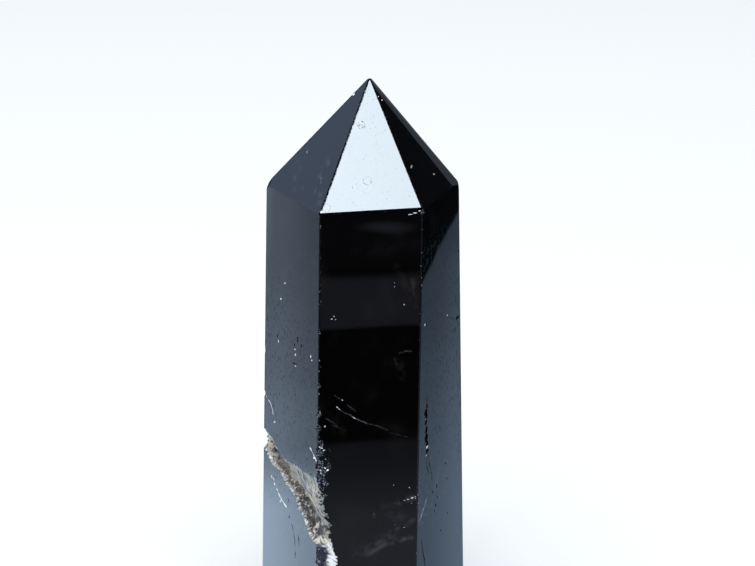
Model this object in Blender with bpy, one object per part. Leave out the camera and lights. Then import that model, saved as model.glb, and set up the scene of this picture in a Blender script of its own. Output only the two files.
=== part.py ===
"""A polished point of near-black smoky quartz that stands on its sawn base.

The crystal is one solid. It is cut the way a lapidary cuts a point: six prism faces that lean in a
little towards the top, six faces that meet at the apex, and small facets where the corners were eased.
A long fracture scar crosses the left face and runs down its front edge, and there are small chips.

The drawing is in millimetres and degrees. The base lies on z = 0, +Z is up and the front faces -Y.
"""
import math

import bmesh
import bpy
import numpy as np
from mathutils import Matrix, Vector, noise

MM = 0.001

# The polished faces
HEIGHT = 90.0
GAUGE_HEIGHT = 74.0
PRISM_FACES = (
    # azimuth from the front, lean, distance from the axis at the gauge height
    (5.0, 1.9, 12.24),      # front
    (64.4, 0.3, 12.81),     # right
    (124.3, 2.4, 12.15),    # back right
    (184.6, 1.3, 12.40),    # back
    (244.4, 0.9, 12.71),    # back left
    (304.9, 1.9, 12.43),    # left
)
FRONT, RIGHT, BACK_RIGHT, BACK, BACK_LEFT, LEFT = range(6)
CORNER_HEIGHTS = (73.2, 73.6, 74.0, 74.0, 73.8, 72.7)
APEX = (1.0, 0.1, HEIGHT)
EASED_CORNERS = (
    # corner, cut above it along the point's edge, cut below it along the prism's edge
    (1, 0.4, 1.1),
    (2, 1.0, 0.8),
    (3, 0.7, 1.0),
    (4, 1.3, 0.8),
)
EDGE_WEAR = 0.14
BASE_WEAR = 0.35

# The scar is drawn on an upright sheet that faces the front left, u to the right along it
SCAR_AZIMUTH = -50.0
SCAR_OUTLINE = (
    (-9.5, 33.4), (-8.4, 34.4), (-6.4, 33.8), (-4.4, 32.2), (-2.5, 31.4), (0.7, 31.7), (2.8, 31.3),
    (4.8, 31.6), (6.1, 32.0), (6.8, 29.9), (7.2, 27.1), (7.6, 24.0), (7.9, 21.6), (8.6, 18.0),
    (8.3, 14.6), (7.8, 11.2), (6.8, 9.0), (6.2, 12.0), (6.4, 17.0), (6.6, 20.8), (4.9, 21.2),
    (3.4, 23.0), (2.4, 24.4), (1.2, 24.8), (0.5, 26.4), (-2.3, 27.6), (-4.1, 29.0), (-5.8, 29.2),
    (-7.8, 30.6), (-9.3, 31.6),
)
GROOVE_LINE = (
    (-9.0, 32.2), (-5.6, 30.4), (-1.6, 28.9), (0.7, 27.5), (2.4, 25.9), (4.1, 24.9), (5.8, 23.9), (7.3, 22.7),
)
GROOVE_DEPTH = 1.25
GROOVE_REACH = 3.6
SCAR_LEDGE = 0.20
SCAR_WALL = 0.9
SCAR_ROUGHNESS = 0.42
SCAR_LUMP = 1.3
SCAR_RIDGE = 0.14
SCAR_RIDGE_PITCH = 1.5
SCAR_RIDGE_SLANT = 0.38
SCAR_LEAST_DEPTH = 0.10
SCAR_STAND_OFF = 0.40
SCAR_STEP = 0.42
SCAR_MARGIN = 1.2
SHEET_THICKNESS = 4.0

CHIPS = (
    # the two faces that share the edge, height, how far out of the edge it lies, half sizes
    (LEFT, FRONT, 46.4, 0.05, (0.35, 0.35, 0.45)),
    (LEFT, FRONT, 41.9, 0.10, (0.45, 0.45, 0.70)),
    (LEFT, FRONT, 39.6, 0.05, (0.55, 0.50, 0.60)),
    (LEFT, FRONT, 36.0, 0.10, (0.60, 0.55, 1.00)),
    (LEFT, FRONT, 33.4, 0.05, (0.60, 0.60, 0.80)),
    (BACK_LEFT, LEFT, 40.3, 0.10, (0.50, 0.50, 0.60)),
    (BACK_LEFT, LEFT, 47.6, 0.15, (0.35, 0.35, 0.90)),
    (FRONT, RIGHT, 28.0, 0.10, (0.45, 0.45, 0.50)),
    (FRONT, RIGHT, 72.6, 0.10, (0.45, 0.40, 0.40)),
)
GASH_HEIGHT = 39.4
GASH_FROM_EDGE = 0.95
GASH_HALF_SIZES = (0.32, 0.45, 4.0)
CHIP_ROUGHNESS = 0.35

BLACK_QUARTZ = (0.010, 0.009, 0.010, 1.0)


def face_plane(index):
    """Outward normal of a prism face and its distance from the origin along that normal."""
    azimuth, lean, distance = PRISM_FACES[index]
    turn, tilt = math.radians(azimuth), math.radians(lean)
    normal = Vector((math.sin(turn) * math.cos(tilt), -math.cos(turn) * math.cos(tilt), math.sin(tilt)))
    return normal, distance * math.cos(tilt) + GAUGE_HEIGHT * math.sin(tilt)


def edge_point(first, second, z):
    """The point at height z where two prism faces meet."""
    (n1, d1), (n2, d2) = face_plane(first), face_plane(second)
    a, b = d1 - n1.z * z, d2 - n2.z * z
    cross = n1.x * n2.y - n1.y * n2.x
    return Vector(((a * n2.y - b * n1.y) / cross, (n1.x * b - n2.x * a) / cross, z))


def cut_off(bm, point, normal):
    """Grinds away what lies beyond a plane and closes the new flat face."""
    geometry = bm.verts[:] + bm.edges[:] + bm.faces[:]
    cut = bmesh.ops.bisect_plane(bm, geom=geometry, plane_co=point, plane_no=normal, clear_outer=True)
    rim = [item for item in cut["geom_cut"] if isinstance(item, bmesh.types.BMEdge)]
    bmesh.ops.contextual_create(bm, geom=rim)


def polished_crystal():
    """The six-sided prism with its point, its eased corners and worn edges."""
    bm = bmesh.new()
    apex = Vector(APEX)
    corners = [edge_point(k, (k + 1) % 6, CORNER_HEIGHTS[k]) for k in range(6)]
    feet = [edge_point(k, (k + 1) % 6, 0.0) for k in range(6)]
    top = [bm.verts.new(point) for point in corners]
    bottom = [bm.verts.new(point) for point in feet]
    tip = bm.verts.new(apex)
    for k in range(6):
        after = (k + 1) % 6
        bm.faces.new((bottom[k], bottom[after], top[after], top[k]))
        bm.faces.new((top[k], top[after], tip))
    bm.faces.new(reversed(bottom))
    for k, above, below in EASED_CORNERS:
        high = corners[k] + (apex - corners[k]).normalized() * above
        low = corners[k] + (feet[k] - corners[k]).normalized() * below
        outwards = Vector((corners[k].x, corners[k].y, 0.0))
        along = Vector((-outwards.y, outwards.x, 0.0))
        normal = along.cross(high - low)
        cut_off(bm, low, normal if normal.dot(outwards) > 0 else -normal)
    foot_edges = [edge for edge in bm.edges if all(vert.co.z < 0.001 for vert in edge.verts)]
    bmesh.ops.bevel(bm, geom=foot_edges, offset=BASE_WEAR, segments=1, affect="EDGES")
    worn = [edge for edge in bm.edges if edge.calc_face_angle(0.0) > math.radians(12.0)
            and max(vert.co.z for vert in edge.verts) > 1.0]
    bmesh.ops.bevel(bm, geom=worn, offset=EDGE_WEAR, segments=1, affect="EDGES")
    bmesh.ops.recalc_face_normals(bm, faces=bm.faces)
    return bm


def distance_to_line(points, line, closed=False):
    """Distance of each point from a broken line drawn on the sheet."""
    corners = np.array(line + line[:1] if closed else line)
    nearest = np.full(len(points), np.inf)
    for start, end in zip(corners, corners[1:]):
        run = end - start
        offset = points - start
        share = np.clip(offset @ run / (run @ run), 0.0, 1.0)
        nearest = np.minimum(nearest, np.linalg.norm(offset - share[:, None] * run, axis=1))
    return nearest


def lies_inside(points, outline):
    """True for each point inside a closed outline, by counting crossings to its left."""
    inside = np.zeros(len(points), dtype=bool)
    for (u1, z1), (u2, z2) in zip(outline, outline[1:] + outline[:1]):
        if z1 != z2:
            spans = (z1 > points[:, 1]) != (z2 > points[:, 1])
            inside ^= spans & (points[:, 0] < u1 + (points[:, 1] - z1) * (u2 - u1) / (z2 - z1))
    return inside


def scar_depths(points):
    """How deep the fracture lies under the polished faces: a groove with one long ridged wall."""
    share = np.minimum(distance_to_line(points, SCAR_OUTLINE, closed=True) / SCAR_WALL, 1.0)
    groove = GROOVE_DEPTH * np.maximum(1.0 - distance_to_line(points, GROOVE_LINE) / GROOVE_REACH, 0.0)
    lumps = np.array([noise.noise(Vector((u, 0.0, z)) / SCAR_LUMP) for u, z in points])
    across = (points[:, 0] + SCAR_RIDGE_SLANT * points[:, 1]) / SCAR_RIDGE_PITCH
    ridges = 1.0 - 2.0 * np.abs(2.0 * (across % 1.0) - 1.0)
    depths = SCAR_LEDGE + share * (groove + SCAR_ROUGHNESS * lumps + SCAR_RIDGE * ridges)
    inside = lies_inside(points, SCAR_OUTLINE)
    return np.where(inside, np.maximum(depths, SCAR_LEAST_DEPTH), -SCAR_STAND_OFF)


def new_object(name, bm):
    """Makes an object of a mesh drawn in millimetres, at its place in metres."""
    bmesh.ops.scale(bm, vec=(MM, MM, MM), verts=bm.verts)
    mesh = bpy.data.meshes.new(name)
    bm.to_mesh(mesh)
    bm.free()
    made = bpy.data.objects.new(name, mesh)
    bpy.context.scene.collection.objects.link(made)
    return made


def scar_cutter():
    """A sheet in front of the left and front faces whose back is the fracture surface."""
    turn = math.radians(SCAR_AZIMUTH)
    outwards = Vector((math.sin(turn), -math.cos(turn), 0.0))
    sideways = Vector((math.cos(turn), math.sin(turn), 0.0))
    outline = np.array(SCAR_OUTLINE)
    low = outline.min(axis=0) - SCAR_MARGIN
    high = outline.max(axis=0) + SCAR_MARGIN
    columns, rows = (int(count) for count in np.ceil((high - low) / SCAR_STEP))
    us, zs = np.linspace(low[0], high[0], columns), np.linspace(low[1], high[1], rows)
    places = np.array([(u, z) for z in zs for u in us])
    planes = [face_plane(index) for index in (BACK_LEFT, LEFT, FRONT)]
    bm = bmesh.new()
    back, front = [], []
    for (u, z), depth in zip(places, scar_depths(places)):
        foot = sideways * u + Vector((0.0, 0.0, z))
        surface = min((distance - normal.dot(foot)) / normal.dot(outwards) for normal, distance in planes)
        back.append(bm.verts.new(foot + outwards * (surface - depth)))
        front.append(bm.verts.new(foot + outwards * (surface + SHEET_THICKNESS)))
    for row in range(rows - 1):
        for column in range(columns - 1):
            a = row * columns + column
            b, c, d = a + 1, a + columns + 1, a + columns
            bm.faces.new((back[a], back[d], back[c], back[b]))
            bm.faces.new((front[a], front[b], front[c], front[d]))
    rim = [edge for edge in bm.edges if edge.is_boundary]
    bmesh.ops.bridge_loops(bm, edges=rim)
    bmesh.ops.triangulate(bm, faces=bm.faces)
    bmesh.ops.recalc_face_normals(bm, faces=bm.faces)
    return new_object("scar_cutter", bm)


def chip_cutter(name, centre, half_sizes, turn, seed):
    """A rough little lump that bites a chip out of the crystal."""
    bm = bmesh.new()
    bmesh.ops.create_icosphere(bm, subdivisions=2, radius=1.0)
    for vert in bm.verts:
        vert.co *= 1.0 + CHIP_ROUGHNESS * noise.noise(vert.co * 1.7 + Vector((seed, 0.3, 0.1)))
    bmesh.ops.scale(bm, vec=half_sizes, verts=bm.verts)
    bmesh.ops.rotate(bm, matrix=Matrix.Rotation(turn, 3, "Z"), verts=bm.verts)
    bmesh.ops.translate(bm, vec=centre, verts=bm.verts)
    return new_object(name, bm)


def damage_cutters():
    """The scar, the gash on the right face and the chips along the edges."""
    cutters = [scar_cutter()]
    for number, (first, second, z, out, half_sizes) in enumerate(CHIPS, start=1):
        edge = edge_point(first, second, z)
        away = Vector((edge.x, edge.y, 0.0)).normalized()
        turn = math.atan2(away.y, away.x)
        cutters.append(chip_cutter(f"chip_cutter_{number}", edge + away * out, half_sizes, turn, number))
    edge = edge_point(FRONT, RIGHT, GASH_HEIGHT)
    normal = face_plane(RIGHT)[0]
    along = Vector((-normal.y, normal.x, 0.0)).normalized()
    turn = math.atan2(along.y, along.x)
    place = edge + along * GASH_FROM_EDGE
    cutters.append(chip_cutter("gash_cutter", place, GASH_HALF_SIZES, turn, len(cutters)))
    return cutters


def paint(target, name, colour, roughness):
    """Gives an object a plain material."""
    material = bpy.data.materials.new(name)
    material.use_nodes = True
    shader = material.node_tree.nodes["Principled BSDF"]
    shader.inputs["Base Color"].default_value = colour
    shader.inputs["Roughness"].default_value = roughness
    shader.inputs["Metallic"].default_value = 0.0
    target.data.materials.append(material)


def centre_over_origin(crystal, cutters):
    """Moves the drawing so that the middle of the base's box is the origin."""
    xs = [vert.co.x for vert in crystal.data.vertices]
    ys = [vert.co.y for vert in crystal.data.vertices]
    shift = Matrix.Translation((-(min(xs) + max(xs)) / 2, -(min(ys) + max(ys)) / 2, 0.0))
    for item in [crystal] + cutters:
        item.data.transform(shift)


def main():
    for old in list(bpy.data.objects):
        bpy.data.objects.remove(old)
    crystal = new_object("quartz_point", polished_crystal())
    cutters = damage_cutters()
    centre_over_origin(crystal, cutters)
    paint(crystal, "black_quartz", BLACK_QUARTZ, 0.06)
    for cutter in cutters:
        cutter.hide_render = True
        cutter.display_type = "WIRE"
        cut = crystal.modifiers.new(cutter.name, "BOOLEAN")
        cut.operation = "DIFFERENCE"
        cut.solver = "EXACT"
        cut.object = cutter


main()
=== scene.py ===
# %% [markdown]
# # A polished point of near-black quartz
#
# The real thing is one crystal of smoky quartz, so dark that it looks black. A lapidary ground six flat
# sides on it and six more that meet at the top, polished them, and sawed the foot off square so that it
# stands. It broke a little since: a long fracture scar crosses its left side.
#
# A solid with these faces is already made, and it is loaded first. It fixes every size and place in this
# lesson. The crystal is then cut again here from a block, with finer damage and the polish.

# %% Load the solid that this lesson dresses
import math
import random

import bmesh
import bpy
import numpy as np
from mathutils import Matrix, Vector, noise


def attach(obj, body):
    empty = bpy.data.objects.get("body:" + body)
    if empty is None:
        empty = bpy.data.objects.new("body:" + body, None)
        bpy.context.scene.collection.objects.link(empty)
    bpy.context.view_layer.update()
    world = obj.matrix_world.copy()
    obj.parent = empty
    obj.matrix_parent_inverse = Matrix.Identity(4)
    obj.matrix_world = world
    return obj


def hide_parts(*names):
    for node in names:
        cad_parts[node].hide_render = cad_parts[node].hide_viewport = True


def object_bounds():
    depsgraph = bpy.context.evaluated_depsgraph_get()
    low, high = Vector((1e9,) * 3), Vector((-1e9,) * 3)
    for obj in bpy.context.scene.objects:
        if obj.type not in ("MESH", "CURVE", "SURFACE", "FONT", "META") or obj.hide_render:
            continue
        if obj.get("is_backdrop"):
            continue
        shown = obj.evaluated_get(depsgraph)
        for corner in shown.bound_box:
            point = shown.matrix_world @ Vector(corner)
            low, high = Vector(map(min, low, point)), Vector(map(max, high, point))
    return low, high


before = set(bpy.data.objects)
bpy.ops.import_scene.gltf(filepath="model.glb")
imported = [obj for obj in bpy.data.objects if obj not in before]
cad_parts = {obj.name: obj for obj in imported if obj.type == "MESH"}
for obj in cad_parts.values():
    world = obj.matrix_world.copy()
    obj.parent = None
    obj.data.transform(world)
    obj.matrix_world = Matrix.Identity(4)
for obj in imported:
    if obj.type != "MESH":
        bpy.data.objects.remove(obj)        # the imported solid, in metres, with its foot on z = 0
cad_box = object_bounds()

print("The solid measures", [round((high - low) * 1000, 1) for low, high in zip(*cad_box)], "mm")

# %% [markdown]
# ## The drawing
#
# A faceted stone is drawn as a list of planes. Each prism face has an azimuth, counted from the front, a
# small lean inwards, and a distance from the axis at one height, the gauge height. Where two neighbouring
# planes meet there is an edge, and the tip's planes run through the edges' upper ends and the apex. The
# drawing is in millimetres, which keeps its numbers readable.

# %% The faces of the crystal
MM = 0.001
HEIGHT = 90.0
GAUGE_HEIGHT = 74.0
PRISM_FACES = (
    # azimuth, lean, distance from the axis at the gauge height
    (5.0, 1.9, 12.24),      # front
    (64.4, 0.3, 12.81),     # right
    (124.3, 2.4, 12.15),    # back right
    (184.6, 1.3, 12.40),    # back
    (244.4, 0.9, 12.71),    # back left
    (304.9, 1.9, 12.43),    # left
)
FRONT, RIGHT, BACK_RIGHT, BACK, BACK_LEFT, LEFT = range(6)
CORNER_HEIGHTS = (73.2, 73.6, 74.0, 74.0, 73.8, 72.7)
APEX = Vector((1.0, 0.1, HEIGHT))


def face_plane(index):
    """Outward normal of a prism face and its distance from the origin along that normal."""
    azimuth, lean, distance = PRISM_FACES[index]
    turn, tilt = math.radians(azimuth), math.radians(lean)
    normal = Vector((math.sin(turn) * math.cos(tilt), -math.cos(turn) * math.cos(tilt), math.sin(tilt)))
    return normal, distance * math.cos(tilt) + GAUGE_HEIGHT * math.sin(tilt)


def edge_point(index, z):
    """The point at height z on a prism face's right edge, which is its neighbour's left edge."""
    (n1, d1), (n2, d2) = face_plane(index % 6), face_plane((index + 1) % 6)
    a, b = d1 - n1.z * z, d2 - n2.z * z
    cross = n1.x * n2.y - n1.y * n2.x
    return Vector(((a * n2.y - b * n1.y) / cross, (n1.x * b - n2.x * a) / cross, z))


CORNERS = [edge_point(index, CORNER_HEIGHTS[index]) for index in range(6)]


def tip_normal(index):
    """Outward normal of the tip face that stands on a prism face."""
    normal = (CORNERS[index] - APEX).cross(CORNERS[index - 1] - APEX).normalized()
    return normal if normal.z > 0 else -normal


def on_prism(index, across, z):
    """A point on a prism face, so far to the right of its left edge, at height z."""
    left, right = edge_point(index - 1, z), edge_point(index, z)
    return left + (right - left).normalized() * across


def on_tip(index, along, up):
    """A point on a tip face: so far along its lower edge from the left, and so far up the face."""
    left, right = CORNERS[index - 1], CORNERS[index]
    side = (right - left).normalized()
    return left + side * along + tip_normal(index).cross(side) * up


print("The corners under the tip:", [[round(value, 1) for value in corner] for corner in CORNERS])

# %% [markdown]
# ## Finishes first, as empty names
#
# Faces get their finish while they are cut, because that is when it is easy to tell them apart: a bevel
# can give its new faces a material, and a Boolean hands over the cutter's. So the finishes are made now as
# empty materials in a fixed order, and filled with nodes later.

# %% Name the finishes
FINISH_NAMES = ("polished_face", "worn_edge", "ground_foot", "fracture", "chipped_glass", "crushed_white",
                "deep_crack")
POLISHED, WORN, GROUND, FRACTURE, CHIPPED, CRUSHED, DEEP = range(7)
finishes = [bpy.data.materials.new(name) for name in FINISH_NAMES]
for finish in finishes:
    finish.use_nodes = True


def deselect_everything():
    """Leaves nothing selected, so that the next operator acts only on what it is given."""
    if bpy.context.mode != "OBJECT":
        bpy.ops.object.mode_set(mode="OBJECT")
    bpy.ops.object.select_all(action="DESELECT")


def work_on(thing):
    """Makes one object the only selected one and the active one."""
    deselect_everything()
    thing.select_set(True)
    bpy.context.view_layer.objects.active = thing


# %% [markdown]
# ## Grinding the faces
#
# A lapidary holds the crystal against a flat wheel, and each pass takes off what lies beyond one plane.
# The edit-mode bisect tool does the same with Clear Outer and Fill: it cuts, throws the outside away and
# closes the new face. Building the faces from typed corners would be shorter, but a cut face is always
# flat, and a change to one plane moves all its edges by itself. The merge threshold is set very small,
# because its usual 0.1 mm is a lot on a stone this size.

# %% Saw the block and grind the twelve faces
BLOCK_WIDTH, BLOCK_HEIGHT = 60.0, 110.0
FINEST = 1e-7
EASED_CORNERS = (
    # corner, cut above it along the point's edge, cut below it along the prism's edge
    (1, 0.4, 1.1),
    (2, 1.0, 0.8),
    (3, 0.7, 1.0),
    (4, 1.3, 0.8),
)


def grind(point, normal):
    """Takes off what lies beyond a plane, and closes the new flat face."""
    bpy.ops.mesh.select_all(action="SELECT")
    bpy.ops.mesh.bisect(plane_co=Vector(point) * MM, plane_no=normal.normalized(), use_fill=True,
                        clear_outer=True, threshold=FINEST)


deselect_everything()
bpy.ops.mesh.primitive_cube_add(size=MM, location=(0.0, 0.0, BLOCK_HEIGHT / 2 * MM),
                                scale=(BLOCK_WIDTH, BLOCK_WIDTH, BLOCK_HEIGHT))
crystal = bpy.context.object
crystal.name = crystal.data.name = "polished_point"
bpy.ops.object.transform_apply(location=True, rotation=True, scale=True)
for finish in finishes:
    crystal.data.materials.append(finish)
bpy.ops.object.mode_set(mode="EDIT")
for index in range(6):
    normal, distance = face_plane(index)
    grind(normal * distance, normal)
for index in range(6):
    grind(APEX, tip_normal(index))
for index, above, below in EASED_CORNERS:
    corner = CORNERS[index]
    high = corner + (APEX - corner).normalized() * above
    low = corner + (edge_point(index, 0.0) - corner).normalized() * below
    outwards = Vector((corner.x, corner.y, 0.0))
    normal = Vector((-outwards.y, outwards.x, 0.0)).cross(high - low)
    grind(low, normal if normal.dot(outwards) > 0 else -normal)
bpy.ops.object.mode_set(mode="OBJECT")
print("Ground faces:", len(crystal.data.polygons))

# %% [markdown]
# ## Wear on the edges
#
# No edge of a handled stone is razor sharp. The edges of the foot are rubbed back most, because the stone
# is set down on them, and the others carry a rounding of a fraction of a millimetre. It is narrow, but it
# draws the fine dark and bright lines between the faces, so it is real geometry: a bevel of a few
# segments, whose new faces get the worn finish. The foot keeps a finish of its own, ground and not
# polished, and the apex is rubbed a third of a millimetre shorter.

# %% Bevel the edges and mark the foot
BASE_WEAR = 0.35
EDGE_WEAR = 0.22
WEAR_SEGMENTS = 4
WORN_APEX = 89.66
SHARP_ANGLE = math.radians(12.0)
FOOT_REACH = MM             # the foot's own edges lie lower than this
FACES_DOWN = -0.99


def pick(kind, test):
    """In edit mode, selects only the faces or edges that pass a test."""
    bpy.ops.mesh.select_mode(type=kind)
    bpy.ops.mesh.select_all(action="DESELECT")
    editable = bmesh.from_edit_mesh(bpy.context.object.data)
    editable.normal_update()
    found = [item for item in (editable.faces if kind == "FACE" else editable.edges) if test(item)]
    for item in found:
        item.select_set(True)
    bmesh.update_edit_mesh(bpy.context.object.data)
    return len(found)


def around_the_foot(edge):
    return all(vert.co.z < FINEST for vert in edge.verts)


def is_sharp(edge):
    return edge.calc_face_angle(0.0) > SHARP_ANGLE and max(vert.co.z for vert in edge.verts) > FOOT_REACH


work_on(crystal)
bpy.ops.object.mode_set(mode="EDIT")
worn_edges = pick("EDGE", is_sharp)
bpy.ops.mesh.bevel(offset=EDGE_WEAR * MM, segments=WEAR_SEGMENTS, affect="EDGES", material=WORN)
pick("EDGE", around_the_foot)
bpy.ops.mesh.bevel(offset=BASE_WEAR * MM, segments=WEAR_SEGMENTS, affect="EDGES", material=WORN)
pick("FACE", lambda face: face.normal.z < FACES_DOWN)
crystal.active_material_index = GROUND
bpy.ops.object.material_slot_assign()
grind((0.0, 0.0, WORN_APEX), Vector((0.0, 0.0, 1.0)))
bpy.ops.mesh.select_all(action="SELECT")
bpy.ops.mesh.normals_make_consistent(inside=False)
bpy.ops.object.mode_set(mode="OBJECT")
print("Worn edges:", worn_edges, "and faces now:", len(crystal.data.polygons))

# %% [markdown]
# ## The wheel's second touch
#
# The right face of the tip isn't quite one plane. Along its back edge the wheel tipped over a few degrees
# and left a narrow second facet, which catches a paler part of the room than the face beside it. Two more
# shallow cuts make it, because the wheel rolled rather than stepped over.
#
# They come after the bevels, although a lapidary would cut them first. Their border lines run very close
# together at the apex, where a bevel would cross itself, and the Booleans that follow need a solid that
# doesn't.

# %% Cut the narrow second facet
ROLLS = (
    # degrees out of the face, then at the apex and at the shoulder: width, depth where the cut begins
    (3.2, (1.2, 2.3), (0.0, 0.0)),
    (4.8, (0.5, 1.1), (0.039, 0.067)),
)
ROLL_ENDS = (0.05, 0.97)    # shares of the way down the edge
SAME_PLANE = 0.99999

normal = tip_normal(RIGHT)
down = CORNERS[RIGHT] - APEX
inwards = normal.cross(down).normalized()
if inwards.dot(CORNERS[FRONT] - CORNERS[RIGHT]) < 0:
    inwards = -inwards
bpy.ops.object.mode_set(mode="EDIT")
for degrees, widths, depths in ROLLS:
    upper, lower = (APEX + down * share + inwards * width - normal * depth
                    for share, width, depth in zip(ROLL_ENDS, widths, depths))
    axis = (lower - upper).normalized()
    tipped = Matrix.Rotation(math.radians(degrees), 3, axis) @ normal
    if tipped.dot(inwards) > 0:
        tipped = Matrix.Rotation(math.radians(-degrees), 3, axis) @ normal
    grind(upper, tipped)
    pick("FACE", lambda face: face.normal.dot(tipped.normalized()) > SAME_PLANE)
    crystal.active_material_index = POLISHED
    bpy.ops.object.material_slot_assign()
bpy.ops.mesh.select_all(action="SELECT")
bpy.ops.mesh.normals_make_consistent(inside=False)
bpy.ops.object.mode_set(mode="OBJECT")
print("The narrow facet was cut in", len(ROLLS), "passes")

# %% [markdown]
# ## Setting the drawing over the frame's origin
#
# The frame has its origin in the middle of the stone's foot print, and the drawing has it on the crystal's
# axis. The drawing is moved by the difference between the two boxes, and `placed` moves every later point
# in the same way.

# %% Move the drawing onto the frame
corners = np.array([vert.co for vert in crystal.data.vertices])
drawn_middle = (corners.min(axis=0) + corners.max(axis=0)) / 2
frame_middle = (cad_box[0] + cad_box[1]) / 2
SHIFT = Vector((frame_middle.x - drawn_middle[0], frame_middle.y - drawn_middle[1], 0.0))
crystal.data.transform(Matrix.Translation(SHIFT))


def placed(point):
    """A point of the drawing, in the frame's metres."""
    return Vector(point) * MM + SHIFT


print("The drawing moved by", [round(value / MM, 2) for value in SHIFT], "mm")

# %% [markdown]
# ## Chips along the edges
#
# Small knocks take scooped chips out of an edge. One rough lump is modelled from an icosphere whose points
# are moved at random, and each chip is a copy of it, stretched, turned and set on its edge. The front
# left edge below the scar is worn into a whole band of tiny chips, so there the copies are scattered by
# a seeded random generator, which gives the same stone each time.

# %% Model one rough lump and copy it
LUMP_RANDOM, LUMP_BLEND = 0.22, 0.5
GASH_DEPTH = 0.6
CHIPS = (
    # the face left of the edge, height, how far out of the edge it lies, half sizes
    (LEFT, 46.4, 0.05, (0.35, 0.35, 0.45)),
    (LEFT, 41.9, 0.10, (0.45, 0.45, 0.70)),
    (LEFT, 39.6, 0.05, (0.55, 0.50, 0.60)),
    (LEFT, 36.0, 0.10, (0.60, 0.55, 1.00)),
    (LEFT, 33.4, 0.05, (0.60, 0.60, 0.80)),
    (BACK_LEFT, 40.3, 0.10, (0.50, 0.50, 0.60)),
    (BACK_LEFT, 47.6, 0.15, (0.35, 0.35, 0.90)),
    (FRONT, 28.0, 0.10, (0.45, 0.45, 0.50)),
    (FRONT, 72.6, 0.10, (0.45, 0.40, 0.40)),
)
GASH_STATIONS = (
    # across the right face, height, half width, half height
    (2.85, 41.6, 0.30, 0.45), (2.50, 40.7, 0.60, 0.60), (2.75, 40.0, 0.50, 0.50), (2.60, 39.1, 0.40, 0.50),
    (2.80, 37.8, 0.46, 0.70), (2.85, 36.5, 0.62, 0.80), (3.15, 35.4, 0.50, 0.50), (3.30, 34.2, 0.56, 0.36),
)


def carve(target, cutter, overlapping=False):
    """Subtracts a cutter for good. Its faces bring their finish along."""
    cut = target.modifiers.new("carve", "BOOLEAN")
    cut.operation = "DIFFERENCE"
    cut.solver = "EXACT"
    cut.use_self = overlapping
    cut.material_mode = "TRANSFER"
    cut.object = cutter
    work_on(target)
    bpy.ops.object.modifier_apply(modifier=cut.name)
    bpy.data.objects.remove(cutter)


def rough_lump(name, subdivisions, seed):
    """A lump of radius 1 mm with an uneven surface."""
    deselect_everything()
    bpy.ops.mesh.primitive_ico_sphere_add(subdivisions=subdivisions, radius=MM)
    lump = bpy.context.object
    lump.name = name
    bpy.ops.object.mode_set(mode="EDIT")
    bpy.ops.mesh.select_all(action="SELECT")
    bpy.ops.transform.vertex_random(offset=LUMP_RANDOM * MM, uniform=LUMP_BLEND, normal=LUMP_BLEND, seed=seed)
    bpy.ops.object.mode_set(mode="OBJECT")
    return lump


def copy_lump(lump, place, half_sizes, turn):
    """A copy of a lump with a mesh of its own, stretched, turned and set in place."""
    copy = lump.copy()
    copy.data = lump.data.copy()
    stretch = Matrix.Diagonal(Vector(half_sizes)).to_4x4()
    copy.data.transform(Matrix.Translation(placed(place)) @ turn.to_4x4() @ stretch)
    bpy.context.scene.collection.objects.link(copy)
    return copy


def join(parts, finish):
    """Joins cutters into one, with one finish."""
    work_on(parts[0])
    for part in parts:
        part.select_set(True)
    bpy.ops.object.join()
    joined = bpy.context.object
    joined.data.materials.clear()
    joined.data.materials.append(finish)
    return joined


def upright_turn(direction):
    """A turn about the upright axis that points a lump's X along a direction."""
    return Matrix.Rotation(math.atan2(direction.y, direction.x), 3, "Z")


fine_lump = rough_lump("fine_lump", 3, 4)
chips = []
for left_face, z, out, half_sizes in CHIPS:
    edge = edge_point(left_face, z)
    away = Vector((edge.x, edge.y, 0.0)).normalized()
    chips.append(copy_lump(fine_lump, edge + away * out, half_sizes, upright_turn(away)))
along_right = Vector((*(edge_point(RIGHT, 40.0) - edge_point(FRONT, 40.0)).xy, 0.0))
gash = []
for across, z, half_width, half_height in GASH_STATIONS:
    half_sizes = (half_width, GASH_DEPTH, half_height)
    gash.append(copy_lump(fine_lump, on_prism(RIGHT, across, z), half_sizes, upright_turn(along_right)))
print("Single chips:", len(chips), "and strokes of the gash:", len(gash))

# %% Scatter the bands of tiny chips and carve them all
BANDS = (
    # face on their right, heights, how many, mean and largest distance from the edge, sizes
    (FRONT, (7.0, 37.5), 170, 0.60, 2.6, (0.10, 0.32)),
    (FRONT, (32.0, 34.8), 34, 0.60, 1.8, (0.10, 0.30)),
    (FRONT, (37.0, 72.0), 70, 0.14, 0.5, (0.06, 0.15)),
    (RIGHT, (8.0, 72.5), 46, 0.10, 0.4, (0.05, 0.15)),
    (LEFT, (8.0, 60.0), 9, 0.10, 0.3, (0.05, 0.11)),
)
START_OUTSIDE = 0.15
SPECK_SIZE = 0.25           # bands with no larger chips than this use a plainer lump
CHIP_WIDTHS, CHIP_DEPTH, CHIP_HEIGHTS = (0.7, 1.3), 0.8, (0.9, 2.0)     # shares of a chip's size
TEETH, TEETH_SIZES, TOOTH_HEIGHT = 44, (0.05, 0.13), 1.3                 # along the left edge of the tip
dice = random.Random(17)

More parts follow.
